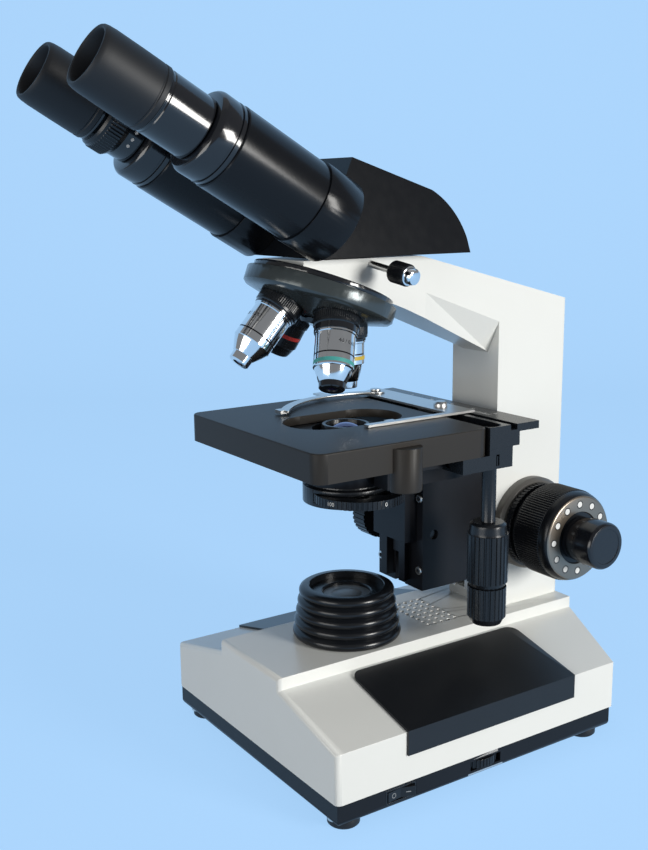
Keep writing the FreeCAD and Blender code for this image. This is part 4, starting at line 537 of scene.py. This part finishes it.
OBJECTIVES = [("objective_10x", rows_10x, "10 / 0.25", 14.4),
              ("objective_40x", rows_40x, "40 / 0.65", 19.5),
              ("objective_100x", rows_100x, "100 / 1.25", 18.5),
              ("objective_4x", rows_4x, "4 / 0.10", 11.5)]
for station, (node, rows, _, _) in enumerate(OBJECTIVES):
    piece = turned(node + "_turned", "turret", rows, objective_frame(station), sides=240)
    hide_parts(node)
    print(piece.name, len(piece.data.polygons), "faces")

# %% [markdown]
# ## Marks that are printed or engraved
#
# Scales, numbers and dots are laid on a surface a few hundredths of a millimetre proud, as a filled
# engraving is. The same mapping wraps them round a barrel: the distance across becomes an angle.

# %% Lettering, ticks and dots, flat or wrapped round a barrel
MARK_FOOT, TICK_TOP, DOT_TOP = -0.02, 0.03, 0.04
CAPITAL_PER_SIZE = 0.7
DOT_SIDES = 20


def wrapped(point, radius):
    """A point of a flat drawing, laid on a cylinder about Y that faces the drawing's own +Z."""
    if radius is None:
        return point
    turn = point.x / (radius * MM)
    reach = radius * MM + point.z
    return Vector((reach * math.sin(turn), point.y, reach * math.cos(turn)))


def drawing(name, mesh, finish, body, place, wrap=None):
    for vert in mesh.verts:
        vert.co = wrapped(vert.co, wrap)
    return add_piece(name, mesh, [finish], body, place)


def lettering(name, words, height, finish, body, place, wrap=None):
    """Raised letters; height is that of a capital in mm."""
    curve = bpy.data.curves.new(name, "FONT")
    curve.body = words
    curve.size = height * MM / CAPITAL_PER_SIZE
    curve.align_x = curve.align_y = "CENTER"
    curve.extrude = TICK_TOP * MM
    curve.resolution_u = 3
    holder = bpy.data.objects.new(name, curve)
    mesh = bmesh.new()
    mesh.from_mesh(bpy.data.meshes.new_from_object(holder))
    bpy.data.objects.remove(holder)
    bmesh.ops.triangulate(mesh, faces=mesh.faces)
    return drawing(name, mesh, finish, body, place, wrap)


def raise_shape(mesh, corners, top_mm):
    """A flat shape and its rim. It has no underside, because it lies on a surface."""
    lower = [mesh.verts.new((x * MM, y * MM, MARK_FOOT * MM)) for x, y in corners]
    upper = [mesh.verts.new((x * MM, y * MM, top_mm * MM)) for x, y in corners]
    mesh.faces.new(upper)
    for n in range(len(corners)):
        m = (n + 1) % len(corners)
        mesh.faces.new((lower[n], lower[m], upper[m], upper[n]))


def ticks(name, lines, width, finish, body, place):
    """Thin strokes; each line is (x, y, x, y) in mm from one end to the other."""
    mesh = bmesh.new()
    for x0, y0, x1, y1 in lines:
        along = Vector((x1 - x0, y1 - y0)).normalized() * width / 2
        aside = Vector((-along.y, along.x))
        start, end = Vector((x0, y0)), Vector((x1, y1))
        raise_shape(mesh, [start - aside, end - aside, end + aside, start + aside], TICK_TOP)
    return drawing(name, mesh, finish, body, place)


def dots(name, centres, radius, finish, body, place, wrap=None):
    mesh = bmesh.new()
    rim = [on_circle(radius, 360 * n / DOT_SIDES) for n in range(DOT_SIDES)]
    for x, y in centres:
        raise_shape(mesh, [(x + u, y + v) for u, v in rim], DOT_TOP)
    return drawing(name, mesh, finish, body, place, wrap)


def around(frame_of, height, degrees, upwards=1):
    """A drawing's place on a barrel: its Y runs along the barrel's axis and its Z points outwards."""
    turn = math.radians(degrees)
    outwards = Vector((math.cos(turn), math.sin(turn), 0))
    along = Vector((0, 0, upwards))
    flat = Matrix((along.cross(outwards), along, outwards)).transposed().to_4x4()
    return frame_of @ shift(0, 0, height) @ flat


for station, (node, _, words, height) in enumerate(OBJECTIVES):
    finish, radius = (WHITE_MARK, SLEEVE_R) if node == "objective_4x" else (BLACK_SATIN, CHROME_R)
    lettering(node + "_power", words, 2.2, finish, "turret",
              around(objective_frame(station), height, -90, upwards=-1), wrap=radius)
print("objectives marked")

# %% [markdown]
# ## Focus knobs
#
# The coarse knob is a wide drum with a rough knurl, and its outer face carries a metal dial ring with a
# row of dots for the fine focus that turns inside it. The fine knob is smooth, with one bevel that
# catches the light. Both sides are the same, because people focus with either hand.

# %% Coarse knobs with dial rings, fine knobs and their shaft
KNURL = knurl(29.0, 0.5, 110)
DIAL_FACE, DIAL_DOTS, DIAL_DOTS_R = 66.4, 12, 21.2
rows_coarse = (made_of(KNOB_PLASTIC, (4.7, 33.9), (23.0, 33.9), (25.6, 34.6), (28.0, 38.2),
                       (28.4, 39.4), (KNURL, 39.8), (KNURL, 59.6), (28.4, 60.0), (28.2, 62.2),
                       (27.2, 64.8))
               + made_of(DIAL_METAL, (26.4, 65.7), (25.9, 66.2), (25.2, DIAL_FACE),
                         (16.6, DIAL_FACE))
               + made_of(KNOB_PLASTIC, (16.0, 65.3), (4.7, 65.3), (4.7, 33.9)))
rows_fine = (made_of(KNOB_GLOSS, (0, 88.6), (10.6, 88.6), (10.9, 89.0), (12.4, 89.0), (13.5, 88.7),
                     (14.3, 87.8), (14.6, 86.6), (14.6, 75.2), (13.8, 74.2), (13.5, 65.7))
             + made_of(SATIN_METAL, (2.4, 65.7), (2.4, 0)))
for side, word in ((1, "right"), (-1, "left")):
    outwards = aim((0, FOCUS.y, FOCUS.z), (side, 0, 0), across=Z)
    coarse = turned(word + "_coarse_knob", "coarse_drive", rows_coarse, outwards, sides=880)
    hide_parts("coarse_knobs")
    fine = turned(word + "_fine_knob", "fine_drive", rows_fine, outwards)
    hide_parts("fine_drive")
    face = outwards @ shift(0, 0, DIAL_FACE)
    ring_of_dots = [on_circle(DIAL_DOTS_R, 360 * n / DIAL_DOTS) for n in range(DIAL_DOTS)]
    dots(word + "_dial_dots", ring_of_dots, 1.9, WHITE_MARK, "coarse_drive", face)
    dots(word + "_dial_rims", ring_of_dots, 2.5, BLACK_SATIN, "coarse_drive",
         face @ shift(0, 0, -0.02))
    print(word, "knobs turned")

# %% [markdown]
# ## Lamp housing
#
# The lamp gets hot, so its housing is a stack of cooling ribs, each one narrower than the last. Their
# edges are full and round, which is why every rib shows its own highlight.

# %% Ribbed lamp housing
LAMP_FOOT, LAMP_R = 69.1, 33.0
RIBS, RIB_H, RIB_DEPTH, RIB_STEPS, RIB_FULLNESS = 5, 6.28, 1.9, 8, 0.55
lamp_outline = []
for rib in range(RIBS):
    for step in range(RIB_STEPS + 1):
        swell = math.sin(math.pi * step / RIB_STEPS) ** RIB_FULLNESS
        lamp_outline.append((LAMP_R - rib - RIB_DEPTH + RIB_DEPTH * swell,
                             LAMP_FOOT + RIB_H * (rib + 0.05 + 0.11 * step)))
lamp_outline += [(26.2, 100.5), (23.0, 100.5), (22.6, 100.1), (22.6, 96.5), (15.2, 96.5),
                 (14.5, 96.0), (14.5, 94.5), (17.05, 94.5), (17.05, 89.5), (28.0, 88.5),
                 (28.0, 61.1), (29.7, 61.1), (29.7, LAMP_FOOT), lamp_outline[0]]
lamp = turned("lamp_ribs", "stand", made_of(LAMP_BLACK, *lamp_outline), Matrix(), sides=128)
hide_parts("lamp_housing")
print("lamp ribs", RIBS)

# %% [markdown]
# ## Eyepiece tubes, eyepieces and cups
#
# The tubes end in a few fine rings where the eyepiece slips in. The eyepiece barrel is the glossiest
# part of the whole instrument, while the rubber cup over it is matt and ends in a soft rolled lip. Only
# the left eyepiece carries a dioptre ring: one eye is set with the fine focus and the other one with
# the ring.

# %% Tubes, eyepieces, cups and the dioptre ring
rows_tube = (made_of(BLACK_ENAMEL, (19.5, 51.7), (22.5, 51.7), (22.5, 104.2))
             + made_of(GLOSS_ANODISED, (22.1, 104.8), (21.3, 105.0), (21.3, 106.0), (22.2, 106.3),
                       (22.2, 107.7), (21.4, 108.0), (21.4, 109.0), (22.1, 109.4), (22.1, 117.0),
                       (21.6, 118.4), (20.6, 119.5), (20.0, 119.8))
             + made_of(BLACK_SATIN, (11.65, 119.8), (11.65, 104.6), (19.5, 102.8), (19.5, 51.7)))
rows_cup = made_of(RUBBER, (13.0, 145.8), (16.4, 145.8), (16.9, 146.3), (16.9, 148.6), (16.5, 149.0),
                   (16.5, 149.6), (16.85, 150.0), (16.8, 162.0), (16.6, 176.0), (16.3, 179.6),
                   (15.9, 181.4), (15.3, 182.2), (14.5, 182.3), (13.7, 181.8), (13.2, 180.6),
                   (12.3, 173.4), (12.2, 170.3), (13.0, 170.3), (13.0, 145.8))
BARREL_INSIDE = made_of(BLACK_SATIN, (13.0, 145.8), (13.0, 170.3), (10.0, 170.3), (10.0, 103.8))
rows_right = made_of(GLOSS_ANODISED, (10.0, 103.8), (11.6, 103.8), (11.6, 120.1), (15.9, 120.1),
                     (16.5, 120.7), (16.5, 143.6), (16.0, 144.1), (16.0, 144.9), (16.5, 145.3),
                     (16.5, 145.8)) + BARREL_INSIDE
rows_left = made_of(GLOSS_ANODISED, (10.0, 103.8), (11.6, 103.8), (11.6, 144.7), (16.5, 144.7),
                    (16.5, 145.8)) + BARREL_INSIDE
RING_R = 15.9
GRIP = knurl(18.4, 0.5, 60)
rows_dioptre = (made_of(GLOSS_ANODISED, (11.7, 120.1), (15.4, 120.1), (RING_R, 120.6))
                + made_of(ANODISED, (RING_R, 129.0), (17.9, 131.8), (GRIP, 132.2), (GRIP, 139.6),
                          (17.9, 140.0), (17.6, 141.6), (16.4, 142.8), (11.7, 142.8),
                          (11.7, 120.1)))
for side, word, rows in ((1, "right", rows_right), (-1, "left", rows_left)):
    for made, node, body, outline in (("tube", "eyepiece_tube", "arm", rows_tube),
                                      ("barrel", "eyepiece", "ocular", rows),
                                      ("cup", "eyecup", "ocular", rows_cup)):
        piece = turned("%s_%s_turned" % (word, made), "%s_%s" % (word, body), outline,
                       tube_frame(side), sides=128)
        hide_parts("%s_%s" % (word, node))
dioptre = turned("dioptre_turned", "dioptre", rows_dioptre, tube_frame(-1), sides=480)
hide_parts("dioptre_ring")
spots = [(math.radians(turn) * RING_R, 0) for turn in range(-60, 61, 15)]
dots("dioptre_dots", spots, 0.9, WHITE_MARK, "dioptre", around(tube_frame(-1), 125.6, 20),
     wrap=RING_R)
print("eyepieces done")

# %% [markdown]
# ## Spacing scale, clamp screw and stage screws
#
# The disc between the tubes reads the distance between the user's eyes in millimetres. A knurled
# screw with a bright end locks the head, and socket screws hold the bracket to its slide and the pan
# under the base.

# %% Spacing disc, clamp screw, socket screws
DISC_FACE, MARKS, DEGREES_PER_MARK = 55.3, 21, 9
TICK_END, TICK_START, LONG_TICK_START, NUMBER_R = 11.4, 9.8, 9.0, 6.9
disc_face = HEAD @ shift(0, 0, DISC_FACE)
scale_marks = []
for n in range(MARKS):
    degrees = 90 + DEGREES_PER_MARK * (n - MARKS // 2)
    inner = TICK_START if n % 5 else LONG_TICK_START
    scale_marks.append((*on_circle(inner, degrees), *on_circle(TICK_END, degrees)))
ticks("spacing_scale", scale_marks, 0.22, WHITE_MARK, "head", disc_face)
for n, words in enumerate(("55", "60", "65", "70", "75")):
    beside = 5 * DEGREES_PER_MARK * (n - 2)
    spot = disc_face @ shift(*on_circle(NUMBER_R, 90 + beside), 0)
    lettering("spacing_" + words, words, 1.7, WHITE_MARK, "head",
              spot @ Matrix.Rotation(math.radians(beside), 4, "Z"))

CLAMP = aim((18.1, 2.2, 294.3), (33.5, 5.5, -6.2))
CLAMP_GRIP = knurl(6.2, 0.5, 36)
rows_clamp = (made_of(TURNED_METAL, (2.0, 0.6), (2.0, 20.8))
              + made_of(KNOB_PLASTIC, (5.4, 21.0), (CLAMP_GRIP, 21.8), (CLAMP_GRIP, 32.2))
              + made_of(CHROME, (5.4, 33.0), (4.6, 33.2), (4.6, 36.2), (4.1, 37.3), (3.0, 37.8),
                        (0, 37.8)))
clamp = turned("clamp_screw_turned", "head_clamp", rows_clamp, CLAMP, sides=216)
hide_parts("head_clamp_screw")


def socket_screw(name, body, place, radius):
    """A cap screw with a hexagon in its head."""
    socket = hexagon(radius * 0.5)
    rows = (made_of(SATIN_METAL, (radius, -0.5), (radius, 0.9), (radius - 0.3, 1.2), (socket, 1.2))
            # The black floor of the socket is painted shade, because the screw itself is metal all
            # through.
            + made_of(BLACK_SATIN, (socket, 0.1), (0, 0.1)))
    return turned(name, body, rows, place, sides=48)


bracket_screws = [(x, z) for x in (-19, 19) for z in (106, 151.5)]
for n, (x, z) in enumerate(bracket_screws):
    socket_screw("bracket_screw_%d" % n, "stage_carriage", aim((x, 41.0, z), -Y), 2.6)
pan_screws = [(x, y) for y in (108, -64) for x in (-79, 79)]
for n, (x, y) in enumerate(pan_screws):
    socket_screw("pan_screw_%d" % n, "stand", aim((x, y, 5.5), -Z), 3.4)
print("screws", len(bracket_screws) + len(pan_screws))

# %% [markdown]
# ## Scales and small marks
#
# The stage carries a millimetre scale along the rail, so that a place on the slide can be found again.
# The annulus disc is numbered on its rim and the power switch has its two signs. A bright metal strip
# under the brightness wheel is a painted highlight on the lit edge of its slot, and a wedge over it
# shows which way is brighter.

# %% Stage scale, disc numbers, switch and wheel signs, and the painted highlight under the wheel
SCALE_END, SCALE_FROM_REAR, NUMBERS_FROM_REAR = 40, 13, 7
_, rail_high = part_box("x_rail")
top, rear = rail_high.z / MM, rail_high.y / MM
lines = [(x, 0, x, 2.2 if x % 5 else 3.6) for x in range(-SCALE_END, SCALE_END + 1)]
ticks("stage_scale", lines, 0.2, WHITE_MARK, "stage_top",
      aim((0, rear - SCALE_FROM_REAR, top), Z))
for x in range(-SCALE_END, SCALE_END + 1, 20):
    words = str(x + SCALE_END)
    lettering("stage_number_" + words, words, 1.9, WHITE_MARK, "stage_top",
              aim((x, rear - NUMBERS_FROM_REAR, top), Z))

ANNULI, DISC_R = ("0", "10", "20", "40", "100"), 27.0
disc_frame = aim(middle_of("phase_disc"), Z)
for n, words in enumerate(ANNULI):
    lettering("annulus_" + words, words, 2.4, WHITE_MARK, "annulus_disc",
              around(disc_frame, 0, 360 / len(ANNULI) * n), wrap=DISC_R)

# The rocker's face is bent in the middle, so each sign lies on its own half.
PAN_SIDE, SIGN_FROM_MIDDLE = 90.0, 4.6
rocker = middle_of("power_rocker")
front_half = aim((PAN_SIDE - 0.15, rocker.y - SIGN_FROM_MIDDLE, rocker.z), (9.0, 0.8, 0), Y)
rear_half = aim((PAN_SIDE + 0.85, rocker.y + SIGN_FROM_MIDDLE, rocker.z), (8.46, -2.8, 0), Y)
off_sign = [on_circle(1.3, 22.5 * n) for n in range(17)]
ticks("switch_off", [(*start, *end) for start, end in zip(off_sign, off_sign[1:])], 0.35,
      GREY_MARK, "rocker", front_half)
ticks("switch_on", [(-1.4, 0, 1.4, 0)], 0.45, GREY_MARK, "rocker", rear_half)

wheel = middle_of("brightness_wheel")
pan_side = aim((PAN_SIDE, wheel.y, wheel.z), X, Y)
# This strip is a painted highlight that stands for the lit edge of the wheel's slot.
ticks("wheel_slot_painted_highlight", [(-13, -4.6, 13, -4.6)], 0.9, SATIN_METAL, "stand", pan_side)
ticks("wheel_wedge", [(0.6 * n - 9, 3.8, 0.6 * n - 9, 3.9 + 0.07 * n) for n in range(31)], 0.25,
      WHITE_MARK, "stand", pan_side)
print("marks done")

# %% [markdown]
# ## The studio
#
# The instrument stands on a pale blue sweep of paper: one sheet that runs back on the floor and curves
# up the wall, so that no horizon shows. The paper glows for the camera and in mirrors, but throws no
# blue light on the white enamel.

# %% Floor that curves up into a backdrop
PAPER_BLUE = (0.362, 0.597, 0.886)
PAPER = Finish("paper", (0.11, 0.15, 0.20), 0.9, specular_ior_level=0.0, emission_strength=1.0)
PAPER.vary(PAPER.noise(400), (0.107, 0.146, 0.195))
seen = sum(PAPER.node("ShaderNodeLightPath", output="Is %s Ray" % kind)
           for kind in ("Camera", "Glossy", "Transmission"))
PAPER.feed("Emission Color", PAPER.mix(seen, (0, 0, 0), PAPER_BLUE))
SWEEP_HALF_WIDTH, SWEEP_NEAR, SWEEP_BEND, SWEEP_HEIGHT = 6.0, -3.0, 1.2, 4.5
BEND_RADIUS, BEND_STEPS = 0.9, 16


def paper_sweep():
    outline = [(SWEEP_NEAR, 0.0), (SWEEP_BEND, 0.0)]
    for step in range(1, BEND_STEPS + 1):
        turn = math.radians(90 * step / BEND_STEPS)
        outline.append((SWEEP_BEND + BEND_RADIUS * math.sin(turn),
                        BEND_RADIUS - BEND_RADIUS * math.cos(turn)))
    outline.append((SWEEP_BEND + BEND_RADIUS, SWEEP_HEIGHT))
    mesh = bmesh.new()
    rows = [[mesh.verts.new((side * SWEEP_HALF_WIDTH, along, high)) for along, high in outline]
            for side in (-1, 1)]
    for n in range(len(outline) - 1):
        mesh.faces.new((rows[0][n], rows[0][n + 1], rows[1][n + 1], rows[1][n])).smooth = True
    data = bpy.data.meshes.new("backdrop")
    mesh.to_mesh(data)
    mesh.free()
    data.materials.append(PAPER.material)
    sweep = bpy.data.objects.new("backdrop", data)
    bpy.context.scene.collection.objects.link(sweep)
    sweep.matrix_world = Matrix.Rotation(HEADING, 4, "Z")


paper_sweep()
print("backdrop made")

# %% [markdown]
# ## Light
#
# A soft lamp stands low at the instrument's right, which leaves the front and the top a little darker.
# A wider and weaker one fills from the front, a faint one hangs above, and a dim sky opens the shadows.

# %% Soft lamps and a dim sky
LAMP_TARGET = Vector((0.0, 0.03, 0.2))
SKY_COLOR, SKY_STRENGTH = (0.93, 0.96, 1.0, 1), 0.25


def soft_lamp(name, place, size, power, color=(1, 1, 1)):
    lamp = bpy.data.objects.new(name, bpy.data.lights.new(name, "AREA"))
    lamp.data.shape = "RECTANGLE"
    lamp.data.size, lamp.data.size_y = size
    lamp.data.energy = power
    lamp.data.color = color
    lamp.location = place
    lamp.rotation_euler = (LAMP_TARGET - Vector(place)).to_track_quat("-Z", "Y").to_euler()
    bpy.context.scene.collection.objects.link(lamp)


soft_lamp("key", (1.90, 0.64, 0.50), (0.58, 0.7), 38, (1.0, 0.985, 0.95))
soft_lamp("fill", (0.35, -1.7, 0.40), (1.2, 0.8), 13, (1.0, 0.99, 0.96))
soft_lamp("top", (-0.4, 0.3, 1.9), (1.6, 1.6), 1)
world = bpy.data.worlds.new("studio")
world.use_nodes = True
sky = world.node_tree.nodes["Background"].inputs
sky["Color"].default_value = SKY_COLOR
sky["Strength"].default_value = SKY_STRENGTH
bpy.context.scene.world = world
